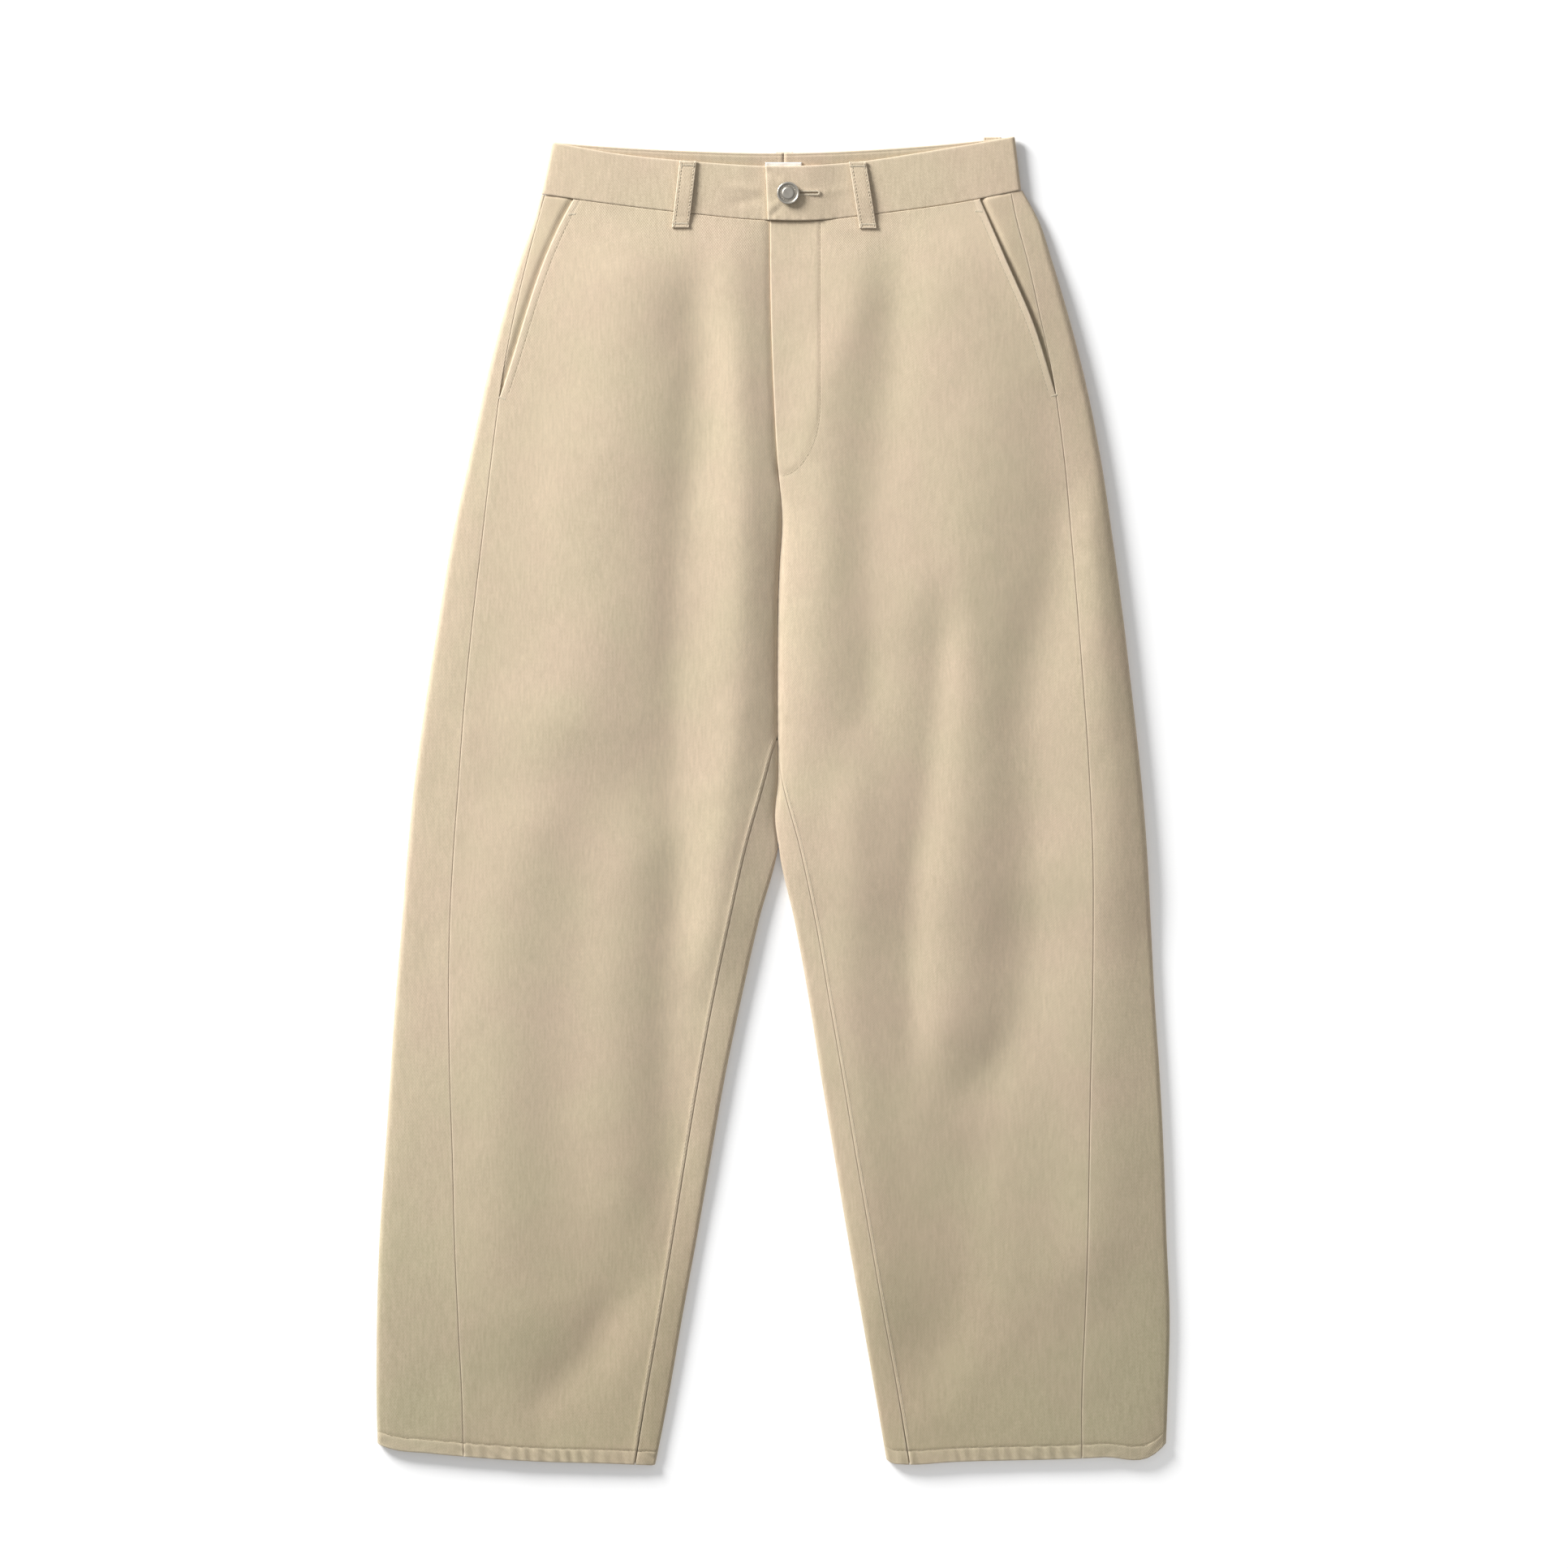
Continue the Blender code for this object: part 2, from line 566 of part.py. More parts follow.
def band_height(x, side, from_fold):
    """Height of the outside of the front band, over the lap at the button."""
    level = BAND_TOP - BAND_EDGE_FALL * np.exp(-from_fold / BAND_EDGE_REACH)
    rise = (UNDERLAP_TOP if side == "right" else OVERLAP_TOP) - BAND_TOP
    into_lap = side_sign(side) * (BAND_LAP[side] - x)
    return level + rise * ease(into_lap / BAND_LAP_SLOPE[side])


def band_row(side, share):
    """One course of the waistband, from its front end to the centre back."""
    sign = side_sign(side)
    ends = BAND_END[side]
    fold = ends["lower"] + (ends["upper"] - ends["lower"]) * share
    if side == "right":
        front_end = BAND_UNDERLAP_X
    else:
        front_end = BAND_OVERLAP_X["lower"] * (1 - share) + BAND_OVERLAP_X["upper"] * share
    centre_back = BACK_LOOPS["centre_back"]["x"] + sign * HALF_GAP
    edge_level = band_height(np.array(fold), side, BAND_FOLD_RADIUS)
    radius = float(edge_level - BAND_UNDERSIDE) / 2
    start = fold - sign * radius
    lap = BAND_LAP[side]
    count = BAND_COLUMNS
    x = list(np.linspace(front_end, lap, count["lap"] + 1))
    x += list(np.linspace(lap, start, count["front"] + 1)[1:])
    z = [float(band_height(np.array(v), side, abs(fold - v))) for v in x]
    z[-1] = BAND_UNDERSIDE + 2 * radius
    layer = [0.0] * len(x)
    for a in np.linspace(0.0, math.pi, count["fold"] + 1)[1:]:
        x.append(start + sign * radius * math.sin(a))
        z.append(BAND_UNDERSIDE + radius * (1 + math.cos(a)))
        layer.append(float(a / math.pi))
    beneath = list(np.linspace(start, centre_back, count["beneath"] + 1)[1:])
    x += beneath
    z += [BAND_UNDERSIDE] * len(beneath)
    layer += [1.0] * len(beneath)
    x = np.array(x)
    z = np.array(z)
    layer = np.array(layer)
    front_low = through(x, WAIST_SEAM["x"], WAIST_SEAM["y"])
    front_high = through(x, FRONT_EDGE["x"], FRONT_EDGE["y"])
    back_low = through(x, BACK_SEAM["x"], BACK_SEAM["y"])
    back_high = through(x, BACK_EDGE["x"], BACK_EDGE["y"])
    low = front_low * (1 - layer) + back_low * layer + HALF_GAP
    high = front_high * (1 - layer) + back_high * layer
    return x, low + (high - low) * share, z


def waistband(side):
    sign = side_sign(side)
    outer = []
    inner = []
    for share in BAND_SHARES:
        x, y, z = band_row(side, share)
        into_x, into_z = inward(x, z, sign)
        into_x[0] = 0.0
        into_z[0] = -1.0
        into_x[-1] = 0.0
        into_z[-1] = 1.0
        outer.append(np.stack((x, y, z), axis=1))
        inner.append(np.stack((x + into_x * BAND_WALL, y, z + into_z * BAND_WALL), axis=1))
    outer = np.array(outer)
    live = np.ones((outer.shape[0] - 1, outer.shape[1] - 1), bool)
    return cloth_wall("waistband_" + side, outer, np.array(inner), live, TWILL_COLOUR)


def front_loop(side):
    """A belt loop, down over the band and its seam onto the front panel."""
    top = FRONT_LOOPS[side]["top"]
    bottom = FRONT_LOOPS[side]["bottom"]
    seam = float(through(np.array(bottom[0]), WAIST_SEAM["x"], WAIST_SEAM["y"]))
    stops = [top[1]] + [seam + stop for stop in LOOP_STOPS] + [bottom[1]]
    outer = []
    inner = []
    for y in stops:
        along = (top[1] - y) / (top[1] - bottom[1])
        middle = top[0] + (bottom[0] - top[0]) * along
        x = middle + np.array((-0.5, 0.0, 0.5)) * LOOP_WIDTH
        panel = float(np.max(front_height(x, np.full(3, y), side)))
        on_band = float(ease((y - seam + LOOP_STEP["from"]) / LOOP_STEP["over"]))
        under = panel + (BAND_TOP - panel) * on_band + SEAM_GAP
        outer.append(np.stack((x, np.full(3, y), np.full(3, under + LOOP_WALL)), axis=1))
        inner.append(np.stack((x, np.full(3, y), np.full(3, under)), axis=1))
    live = np.ones((len(stops) - 1, 2), bool)
    return cloth_wall("belt_loop_front_" + side, np.array(outer), np.array(inner), live,
                      TWILL_COLOUR)


def back_loop(name):
    """A belt loop on the back of the band, flat on the surface."""
    place = BACK_LOOPS[name]
    high = float(through(np.array(place["x"]), BACK_EDGE["x"], BACK_EDGE["y"]))
    low = float(through(np.array(place["x"]), BACK_SEAM["x"], BACK_SEAM["y"]))
    x = place["x"] + np.array((-0.5, 0.5)) * LOOP_WIDTH
    outer = []
    inner = []
    for y in (high + place["above"], low - LOOP_TAIL):
        outer.append(np.stack((x, np.full(2, y), np.full(2, LOOP_WALL)), axis=1))
        inner.append(np.stack((x, np.full(2, y), np.zeros(2)), axis=1))
    live = np.ones((1, 1), bool)
    return cloth_wall("belt_loop_" + name, np.array(outer), np.array(inner), live,
                      TWILL_COLOUR)


def button():
    """A turned shank button that stands on the overlapping end of the band."""
    base = OVERLAP_TOP + SEAM_GAP
    points = []
    for step in range(BUTTON_STEPS):
        a = 2 * math.pi * step / BUTTON_STEPS
        for r, z in BUTTON_PROFILE:
            points.append((BUTTON_AT[0] + r * math.cos(a), BUTTON_AT[1] + r * math.sin(a),
                           base + z))
    rings = len(BUTTON_PROFILE)
    faces = []
    for step in range(BUTTON_STEPS):
        here = step * rings
        after = (step + 1) % BUTTON_STEPS * rings
        for k in range(rings - 1):
            faces.append([here + k, after + k, after + k + 1, here + k + 1])
    faces.append([step * rings for step in range(BUTTON_STEPS)])
    faces.append([step * rings + rings - 1 for step in reversed(range(BUTTON_STEPS))])
    return add_object("button", points, faces, METAL_COLOUR, 0.4, 1.0)


def label():
    """A plain woven label on the inside of the back band."""
    base = BAND_UNDERSIDE + BAND_WALL + SEAM_GAP
    low_x, high_x = LABEL["x"]
    low_y, high_y = LABEL["y"]
    corners = ((low_x, low_y), (high_x, low_y), (high_x, high_y), (low_x, high_y))
    points = [(x, y, base) for x, y in corners]
    points += [(x, y, base + LABEL_WALL) for x, y in corners]
    faces = [[3, 2, 1, 0], [4, 5, 6, 7]]
    faces += [[k, (k + 1) % 4, (k + 1) % 4 + 4, k + 4] for k in range(4)]
    return add_object("label", points, faces, LABEL_COLOUR)


for old in list(bpy.data.objects):
    bpy.data.objects.remove(old, do_unlink=True)

for leg in ("right", "left"):
    front_panel(leg)
    back_panel(leg)
    pocket_facing(leg)
    waistband(leg)
    front_loop(leg)
for loop_name in BACK_LOOPS:
    back_loop(loop_name)
button()
label()
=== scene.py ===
import math

import bpy
import numpy as np
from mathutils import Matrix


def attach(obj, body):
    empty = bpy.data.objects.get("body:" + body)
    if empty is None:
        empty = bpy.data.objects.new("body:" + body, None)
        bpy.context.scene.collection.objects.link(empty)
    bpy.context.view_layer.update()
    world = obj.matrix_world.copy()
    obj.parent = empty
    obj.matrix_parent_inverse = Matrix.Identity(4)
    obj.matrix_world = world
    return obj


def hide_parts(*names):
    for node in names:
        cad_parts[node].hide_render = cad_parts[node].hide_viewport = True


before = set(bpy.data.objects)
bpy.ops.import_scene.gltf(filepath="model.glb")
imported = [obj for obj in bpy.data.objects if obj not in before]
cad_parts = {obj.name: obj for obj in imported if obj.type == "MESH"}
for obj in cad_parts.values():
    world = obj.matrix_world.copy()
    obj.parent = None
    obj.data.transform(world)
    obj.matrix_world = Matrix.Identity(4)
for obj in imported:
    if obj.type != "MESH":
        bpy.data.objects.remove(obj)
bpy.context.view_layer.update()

# The camera hangs straight over the garment, as it does in the photograph.
# Its lens is long, so the flat cloth keeps its true outline.
MM = 0.001
PIXEL = 0.615
PHOTO_SIDE = 1932
GARMENT_MIDDLE = (952.5, 987.0)
CAMERA_HEIGHT = 8.0
camera_data = bpy.data.cameras.new("camera")
camera_data.sensor_width = 36.0
camera_data.lens = camera_data.sensor_width * CAMERA_HEIGHT / (PHOTO_SIDE * PIXEL * MM)
camera_data.clip_end = 20.0
camera = bpy.data.objects.new("camera", camera_data)
bpy.context.collection.objects.link(camera)
camera.location = ((PHOTO_SIDE / 2 - GARMENT_MIDDLE[0]) * PIXEL * MM,
                   (GARMENT_MIDDLE[1] - PHOTO_SIDE / 2) * PIXEL * MM, CAMERA_HEIGHT)
bpy.context.scene.camera = camera
bpy.context.scene.view_settings.view_transform = "Standard"

# The front legs: two long panels of washed cotton twill, cut from waist to hem.
# Each ends at a slanted pocket mouth or the side seam, and at the centre seam or
# the inseam; the hem is turned up inside and stitched once.
PANEL_WALL = 1.2
FOLDED_WALL = 2.0
HALF_GAP = 0.1
SEAM_ROW = 450.0
HEM_ROW = -500.0
HEM_DEPTH = 10.5
CROTCH_ROW = -34.0
EDGE_BLEND = 80.0
RISE_MEETS_INSEAM = {"right": 50.0, "left": 35.0}
SECTION_COLUMNS = ("y", "fold_r", "side_r", "inseam_r", "inner_r",
                   "inner_l", "inseam_l", "side_l", "fold_l")
SECTION_ROWS = (
    (462, -175, -172.0, 0.0, 0.0, 0.0, 0.0, 180.0, 189),
    (440, -181, -178.0, 0.0, 0.0, 0.0, 0.0, 184.5, 201),
    (410, -192, -186.0, 0.0, 0.0, 0.0, 0.0, 192.5, 211),
    (370, -204, -195.5, 0.0, 0.0, 0.0, 0.0, 201.5, 223),
    (320, -217, -205.0, 0.0, 0.0, 0.0, 0.0, 212.0, 236),
    (260, -230, -213.0, 0.0, 0.0, 0.0, 0.0, 220.5, 248),
    (200, -243, -220.0, 0.0, 0.0, 0.0, 0.0, 226.0, 257),
    (140, -253, -227.0, 0.0, 0.0, 0.0, 0.0, 231.0, 265),
    (80, -262.5, -233.0, 4.0, 4.0, 4.0, 4.0, 235.5, 272),
    (50, -266.9, -235.4, 3.4, 4.0, 4.0, 4.0, 237.7, 275.4),
    (35, -269.0, -236.5, -1.2, 4.0, 4.0, 3.9, 238.7, 277.0),
    (20, -271, -237.5, -5.0, 4.0, 4.0, 6.0, 239.5, 278.5),
    (-34, -276.5, -241.5, -20.0, 4.0, 4.0, 20.0, 242.0, 283),
    (-90, -281, -244.5, -32.5, -10.5, 16.0, 32.0, 242.5, 286),
    (-150, -286, -245.5, -45.0, -24.0, 27.0, 42.5, 242.0, 289),
    (-210, -290, -244.5, -56.0, -36.5, 36.5, 53.0, 240.5, 293),
    (-270, -294, -242.5, -66.0, -47.0, 46.5, 63.0, 239.5, 296),
    (-330, -298, -241.0, -75.5, -57.5, 56.5, 73.5, 238.5, 298),
    (-390, -300, -238.5, -85.5, -68.5, 67.0, 84.0, 236.5, 300.4),
    (-450, -300.4, -235.5, -96.0, -79.0, 77.5, 95.0, 234.0, 299),
    (-504, -299, -234.0, -105.0, -90.0, 86.5, 104.0, 234.0, 297),
)
SECTION = {name: [row[i] for row in SECTION_ROWS]
           for i, name in enumerate(SECTION_COLUMNS)}
CENTRE = {"y": (470, 363, 313, 261, 213, 177, 50, 17, -14, -34),
          "x": (-2.5, -1.5, 0.3, 3.0, 6.8, 4.8, 3.5, 3.8, 1.5, 4.0)}
WAIST_SEAM = {"x": (-175.6, -127.6, -72.3, -4.6, 35.4, 69.2, 152.2, 187.9),
              "y": (459.4, 452.6, 445.9, 439.7, 439.7, 443.4, 455.1, 462.5)}
BACK_SEAM = {"x": (-175.6, -143, -69.2, 4.6, 90.7, 167.6, 187.9),
             "y": (459.4, 457.0, 452.3, 450.5, 453.8, 460.6, 462.5)}
HEM = {"right": {"x": (-300, -289, -262, -181, -121, -91),
                 "y": (-487.0, -490.8, -493.8, -500.0, -501.8, -503.1)},
       "left": {"x": (86, 91, 99, 136, 250, 290, 297),
                "y": (-499.5, -501.6, -502.3, -500.5, -496.9, -493.8, -487.5)}}
POCKET = {"right": {"y": (455, 446, 306), "x": (-151.5, -156.5, -207.0)},
          "left": {"y": (455, 414, 359, 308), "x": (157.0, 174.5, 198.0, 214.0)}}
POCKET_END = {"right": 306.0, "left": 308.0}
MOUTH_LIFT = {"right": 0.2, "left": 2.6}
MOUTH_REACH = 9.0
MOUTH_STITCH = 5.5
LOFT = {"y": (462, 440, 415, 385, 300, 180, 60, -80, -260, -420, -504),
        "height": (7.6, 7.8, 8.2, 8.4, 8.6, 8.6, 8.6, 8.4, 8.3, 7.9, 7.2)}
EDGE_FALL = 1.5
EDGE_REACH = 12.0
VALLEY = {"y": (470, 300, 250, 200, 60, -20, -60, -504),
          "depth": (0.2, 0.6, 2.0, 3.9, 4.1, 3.0, 2.4, 2.2)}
VALLEY_REACH = 9.0
CENTRE_DIP = {"depth": 0.9, "half_width": 2.6, "from": 250.0, "to": -30.0, "fade": 40.0}
LEFT_RISE = {"height": 2.6, "reach": 26.0, "from": 450.0, "to": -120.0, "fade": 70.0}
RUMPLES = ((3, 34.0, 62.0, 0.34), (5, 17.0, 27.0, 0.20), (8, 8.0, 11.0, 0.09))
CREASES = (
    (-4.0, 76.0, -48.0, 58.0, 6.0, 0.25),
    (-10.0, 8.0, -62.0, -14.0, 7.0, -0.25),
    (14.0, 50.0, 52.0, 30.0, 6.0, 0.25),
    (16.0, -20.0, 74.0, -48.0, 7.0, -0.3),
)
FOLD_FADE = 70.0
FOLDS = (
    {"name": "thigh_roll", "y": (423, 324, 226, 127, 29),
     "x": (-105, -113, -129, -136, -160), "half_width": 50, "height": 5.2},
    {"name": "calf_outer_roll", "y": (15, -69, -168, -266, -340, -414),
     "x": (-172, -196, -203, -206, -205, -192), "half_width": 40, "height": 4.2},
    {"name": "calf_inner_roll", "y": (-20, -69, -168, -266, -330),
     "x": (-112, -115, -118, -125, -122), "half_width": 30, "height": 3.0},
    {"name": "knee_hollow", "y": (385, 324, 226, 127, 29, -69, -168, -266, -330),
     "x": (-60, -58, -65, -71, -75, -73, -79, -77, -80), "half_width": 19, "height": -2.5},
    {"name": "rise_roll", "y": (423, 324, 226, 127, 29, -69, -130),
     "x": (-30, -25, -22, -25, -29, -40, -50), "half_width": 20, "height": 3.8},
    {"name": "hem_hollow", "y": (-365, -414, -463), "x": (-110, -140, -175),
     "half_width": 22, "height": -1.9},
    {"name": "hem_roll", "y": (-380, -414, -463), "x": (-92, -106, -123),
     "half_width": 24, "height": 0.6},
    {"name": "centre_roll", "y": (423, 373, 324, 226, 127, 60),
     "x": (57, 60, 45, 38, 34, 34), "half_width": 22, "height": 2.2},
    {"name": "front_hollow", "y": (423, 324, 226, 127, 60), "x": (94, 88, 76, 75, 72),
     "half_width": 18, "height": -1.7},
    {"name": "front_roll", "y": (440, 324, 226, 140), "x": (144, 155, 150, 142),
     "half_width": 48, "height": 4.4},
    {"name": "front_roll_low", "y": (140, 78, -20, -119, -190),
     "x": (153, 149, 146, 140, 137), "half_width": 28, "height": 3.2},
    {"name": "knee_groove", "y": (150, 78, 29, -69, -168, -210),
     "x": (128, 125, 120, 106, 105, 110), "half_width": 14, "height": -2.0},
    {"name": "side_hollow", "y": (240, 177, 78, -20, -119, -168, -217),
     "x": (225, 215, 196, 195, 192, 185, 165), "half_width": 24, "height": -2.8},
    {"name": "side_roll", "y": (240, 127, 29, -69, -168, -266, -365),
     "x": (248, 252, 250, 252, 245, 247, 239), "half_width": 30, "height": 3.5},
    {"name": "shin_hollow", "y": (-200, -266, -315, -365, -440),
     "x": (150, 152, 146, 143, 115), "half_width": 30, "height": -2.3},
    {"name": "inseam_roll", "y": (20, -69, -119, -217, -315, -400),
     "x": (62, 63, 58, 66, 74, 82), "half_width": 20, "height": 2.6},
)
INSEAM_RIDGE = {"right": 0.45, "left": 0.2}
FLY_X = 35.4
FLY_CURVE_Y = 298.0
FLY_END_Y = 246.0
FLY_RAISE = 0.3
FLY_SLOPE = 3.0
UNDERLAP = 12.0
UNDERLAP_TAPER = {"from": 8.0, "over": 20.0}
UNDERLAP_DROP = PANEL_WALL + 0.3
UNDERLAP_SLOPE = {"from": 4.0, "over": 5.0}
UNDERLAP_RUN_OUT = {"from": 12.0, "over": 16.0}
SEAM_SPREAD = (0.0, 0.2, 0.6, 1.1, 1.8, 2.8, 4.2, 4.9, 5.5, 6.1, 7.4, 10.0, 13.0)
FLY_SPREAD = (41.0, 39.5, 38.5, 37.6, 36.8, 36.0, 35.0, 34.0, 33.0, 32.0, 30.5, 28.5,
              26.0, 23.0, 20.0, 17.0, 14.0, 11.0, 8.5, 6.5, 5.0, 3.8, 2.8, 2.0, 1.4,
              1.0, 0.6, 0.2, 0.0)
TOP_SPREAD = (0.0, 0.2, 0.6, 1.2, 2.2, 3.5, 5.5, 8.0, 11.0, 14.0, 17.0)
HEM_SPREAD = (20.0, 17.0, 14.5, 12.6, 11.5, 10.9, 10.5, 10.1, 9.5, 8.5, 7.5, 6.5, 5.5,
              4.5, 3.5, 2.5, 1.6, 1.0, 0.5, 0.15, 0.0)
ROW_STEP = 3.3
FLY_ROWS = {"from": 262.0, "to": 238.0, "step": 1.1}
FRONT_STEPS = 54
SETTLE_STEPS = 4


def through(at, keys, values):
    """Read a smooth curve through a short table at the places in `at`."""
    keys = np.asarray(keys, float)
    values = np.asarray(values, float)
    order = np.argsort(keys)
    keys = keys[order]
    values = values[order]
    slope = np.gradient(values, keys)
    at = np.clip(at, keys[0], keys[-1])
    i = np.clip(np.searchsorted(keys, at) - 1, 0, len(keys) - 2)
    span = keys[i + 1] - keys[i]
    t = (at - keys[i]) / span
    rise = (3 - 2 * t) * t * t
    start_bend = t * (1 - t) ** 2 * span * slope[i]
    end_bend = t * t * (1 - t) * span * slope[i + 1]
    return values[i] * (1 - rise) + values[i + 1] * rise + start_bend - end_bend


def ease(value):
    """Go from 0 to 1 softly as value goes from 0 to 1."""
    t = np.clip(value, 0.0, 1.0)
    return t * t * (3 - 2 * t)


def side_sign(side):
    return -1.0 if side == "right" else 1.0


def section(y, name, side):
    return through(y, SECTION["y"], SECTION[name + "_" + side[0]])


def centre_line(y):
    return through(y, CENTRE["y"], CENTRE["x"])


def inner_edge(y, side):
    """The centre line down to the crotch, then the inner fold of the leg."""
    return np.where(y >= CROTCH_ROW, centre_line(y), section(y, "inner", side))


def inseam(y, side):
    """The centre seam down to where the rise meets the inseam, then the inseam."""
    sign = side_sign(side)
    centre = centre_line(y)
    outwards = np.maximum(sign * section(y, "inseam", side), sign * centre) * sign
    return np.where(y >= RISE_MEETS_INSEAM[side], centre, outwards)


def fold_relief(x, y):
    """Add up the soft rolls and hollows of the top layer."""
    relief = np.zeros(np.broadcast(x, y).shape)
    for fold in FOLDS:
        line = through(y, fold["y"], fold["x"])
        fade = ease((fold["y"][0] + FOLD_FADE / 2 - y) / FOLD_FADE)
        fade = fade * ease((y - fold["y"][-1] + FOLD_FADE / 2) / FOLD_FADE)
        across = (x - line) / fold["half_width"]
        relief = relief + fold["height"] * fade * np.exp(-across * across)
    return relief


def rumple(x, y):
    """The slight unrest of washed cloth: soft uneven noise, drawn out down the leg."""
    total = np.zeros(np.broadcast(x, y).shape)
    for seed, wide, tall, size in RUMPLES:
        lattice = np.random.default_rng(seed).uniform(-1.0, 1.0, (160, 160))
        u = (x + 400.0) / wide
        v = (y + 600.0) / tall
        i = np.floor(u).astype(int)
        j = np.floor(v).astype(int)
        s = ease(u - i)
        t = ease(v - j)
        low = lattice[i, j] * (1 - s) + lattice[i + 1, j] * s
        high = lattice[i, j + 1] * (1 - s) + lattice[i + 1, j + 1] * s
        total = total + size * (low * (1 - t) + high * t)
    return total


def crease_relief(x, y, creases):
    """Add up short straight creases: ends, half width and height of each."""
    relief = np.zeros(np.broadcast(x, y).shape)
    for from_x, from_y, to_x, to_y, half_width, height in creases:
        run_x = to_x - from_x
        run_y = to_y - from_y
        length = math.hypot(run_x, run_y)
        along = ((x - from_x) * run_x + (y - from_y) * run_y) / length ** 2
        aside = ((x - from_x) * run_y - (y - from_y) * run_x) / length
        fade = ease((along + 0.15) / 0.45) * ease((1.15 - along) / 0.45)
        relief = relief + height * fade * np.exp(-(aside / half_width) ** 2)
    return relief


def seam_pucker(x, y, side):
    """Fine ripples that the stitching draws into the cloth along each leg seam."""
    ripple = np.sin(2 * math.pi * y / 9.0 + 1.7 * np.sin(y * 0.037) + x * 0.15)
    near_side = np.exp(-((x - section(y, "side", side)) / 7.0) ** 2)
    near_inseam = np.exp(-((x - inseam(y, side)) / 6.0) ** 2)
    return 0.14 * ripple * (near_side + near_inseam)


def top_height(x, y, side):
    """Height of the outside of the top layer of one leg."""
    x = np.asarray(x, float)
    y = np.asarray(y, float)
    sign = side_sign(side)
    from_fold = np.maximum(sign * (section(y, "fold", side) - x), 0.0)
    from_inner = np.maximum(sign * (x - inner_edge(y, side)), 0.0)
    height = through(y, LOFT["y"], LOFT["height"])
    height = height - EDGE_FALL * np.exp(-from_fold / EDGE_REACH)
    valley = through(y, VALLEY["y"], VALLEY["depth"])
    height = height - valley * np.exp(-from_inner / VALLEY_REACH)
    span = ease((CENTRE_DIP["from"] - y) / CENTRE_DIP["fade"])
    span = span * ease((y - CENTRE_DIP["to"]) / CENTRE_DIP["fade"])
    across = from_inner / CENTRE_DIP["half_width"]
    height = height - CENTRE_DIP["depth"] * span * np.exp(-across * across)
    if side == "left":
        span = ease((LEFT_RISE["from"] - y) / LEFT_RISE["fade"])
        span = span * ease((y - LEFT_RISE["to"]) / LEFT_RISE["fade"])
        climb = 1 - np.exp(-from_inner / LEFT_RISE["reach"])
        height = height + LEFT_RISE["height"] * span * climb
    clear_of_fold = 1 - np.exp(-(from_fold / EDGE_REACH) ** 2)
    relief = fold_relief(x, y) + crease_relief(x, y, CREASES) + rumple(x, y)
    return height + (relief + seam_pucker(x, y, side)) * clear_of_fold


def follow_edges(x, row, side, layer):
    """Bend a level row to the waist seam near the top and to the hem below."""
    front = through(x, WAIST_SEAM["x"], WAIST_SEAM["y"])
    back = through(x, BACK_SEAM["x"], BACK_SEAM["y"])
    seam = front * (1 - layer) + back * layer - HALF_GAP
    hem = through(x, HEM[side]["x"], HEM[side]["y"]) + layer
    near_waist = ease((row - SEAM_ROW + EDGE_BLEND) / EDGE_BLEND)
    near_hem = ease((HEM_ROW + EDGE_BLEND - row) / EDGE_BLEND)
    return row + (seam - SEAM_ROW) * near_waist + (hem - HEM_ROW) * near_hem


def mouth_lift(x, y, side):
    """The pocket mouth gapes a little, so the front lifts along it."""
    sign = side_sign(side)
    mouth = through(y, POCKET[side]["y"], POCKET[side]["x"])
    along = (y - POCKET_END[side]) / (POCKET["left"]["y"][0] - POCKET_END[side])
    bow = np.sin(math.pi * np.clip(along, 0.0, 1.0))
    inside = np.maximum(sign * (mouth - x), 0.0)
    return MOUTH_LIFT[side] * bow * np.exp(-inside / MOUTH_REACH)


def fly_distance(x, y):
    """How far a point lies inside the curved stitch line of the fly."""
    down = np.clip((FLY_CURVE_Y - y) / (FLY_CURVE_Y - FLY_END_Y), 0.0, None)
    across = (x - centre_line(y)) / (FLY_X - centre_line(y))
    return (1 - np.sqrt(np.maximum(across, 0.0) ** 2 + down * down)) * FLY_X


def groove(distance, depth, half_width):
    return -depth * np.exp(-(distance / half_width) ** 2)


def hem_form(x, from_hem):
    """The turned up hem: a low step, a stitched groove and slanting puckers."""
    inside = ease((HEM_DEPTH - from_hem) / 1.5)
    wander = 1.3 * np.sin(x * 0.043) + 0.7 * np.sin(x * 0.171 + 1.0)
    slant = np.sin(2 * math.pi * (x + 0.7 * from_hem) / 10.5 + wander)
    swell = np.sin(math.pi * np.clip(from_hem / HEM_DEPTH, 0.0, 1.0))
    uneven = 0.8 + 0.2 * np.sin(x * 0.031 + 0.5)
    stitched = groove(from_hem - HEM_DEPTH, 0.32, 0.7)
    above = np.exp(-np.maximum(from_hem - HEM_DEPTH, 0.0) / 6.0) * (from_hem > HEM_DEPTH)
    return 0.08 * inside + 0.9 * slant * swell * uneven + stitched + 0.25 * slant * above


def front_edges(y, side):
    """Outer and inner edge of a front panel, short of its seams."""
    sign = side_sign(side)
    mouth = through(y, POCKET[side]["y"], POCKET[side]["x"])
    seam = section(y, "side", side)
    outer = np.where(y > POCKET_END[side], mouth, seam) - sign * HALF_GAP
    inner = inseam(y, side) + sign * HALF_GAP
    if side == "right":
        reach = ease((y - FLY_END_Y - UNDERLAP_TAPER["from"]) / UNDERLAP_TAPER["over"])
        inner = inner + (UNDERLAP + HALF_GAP) * reach
    return outer, inner


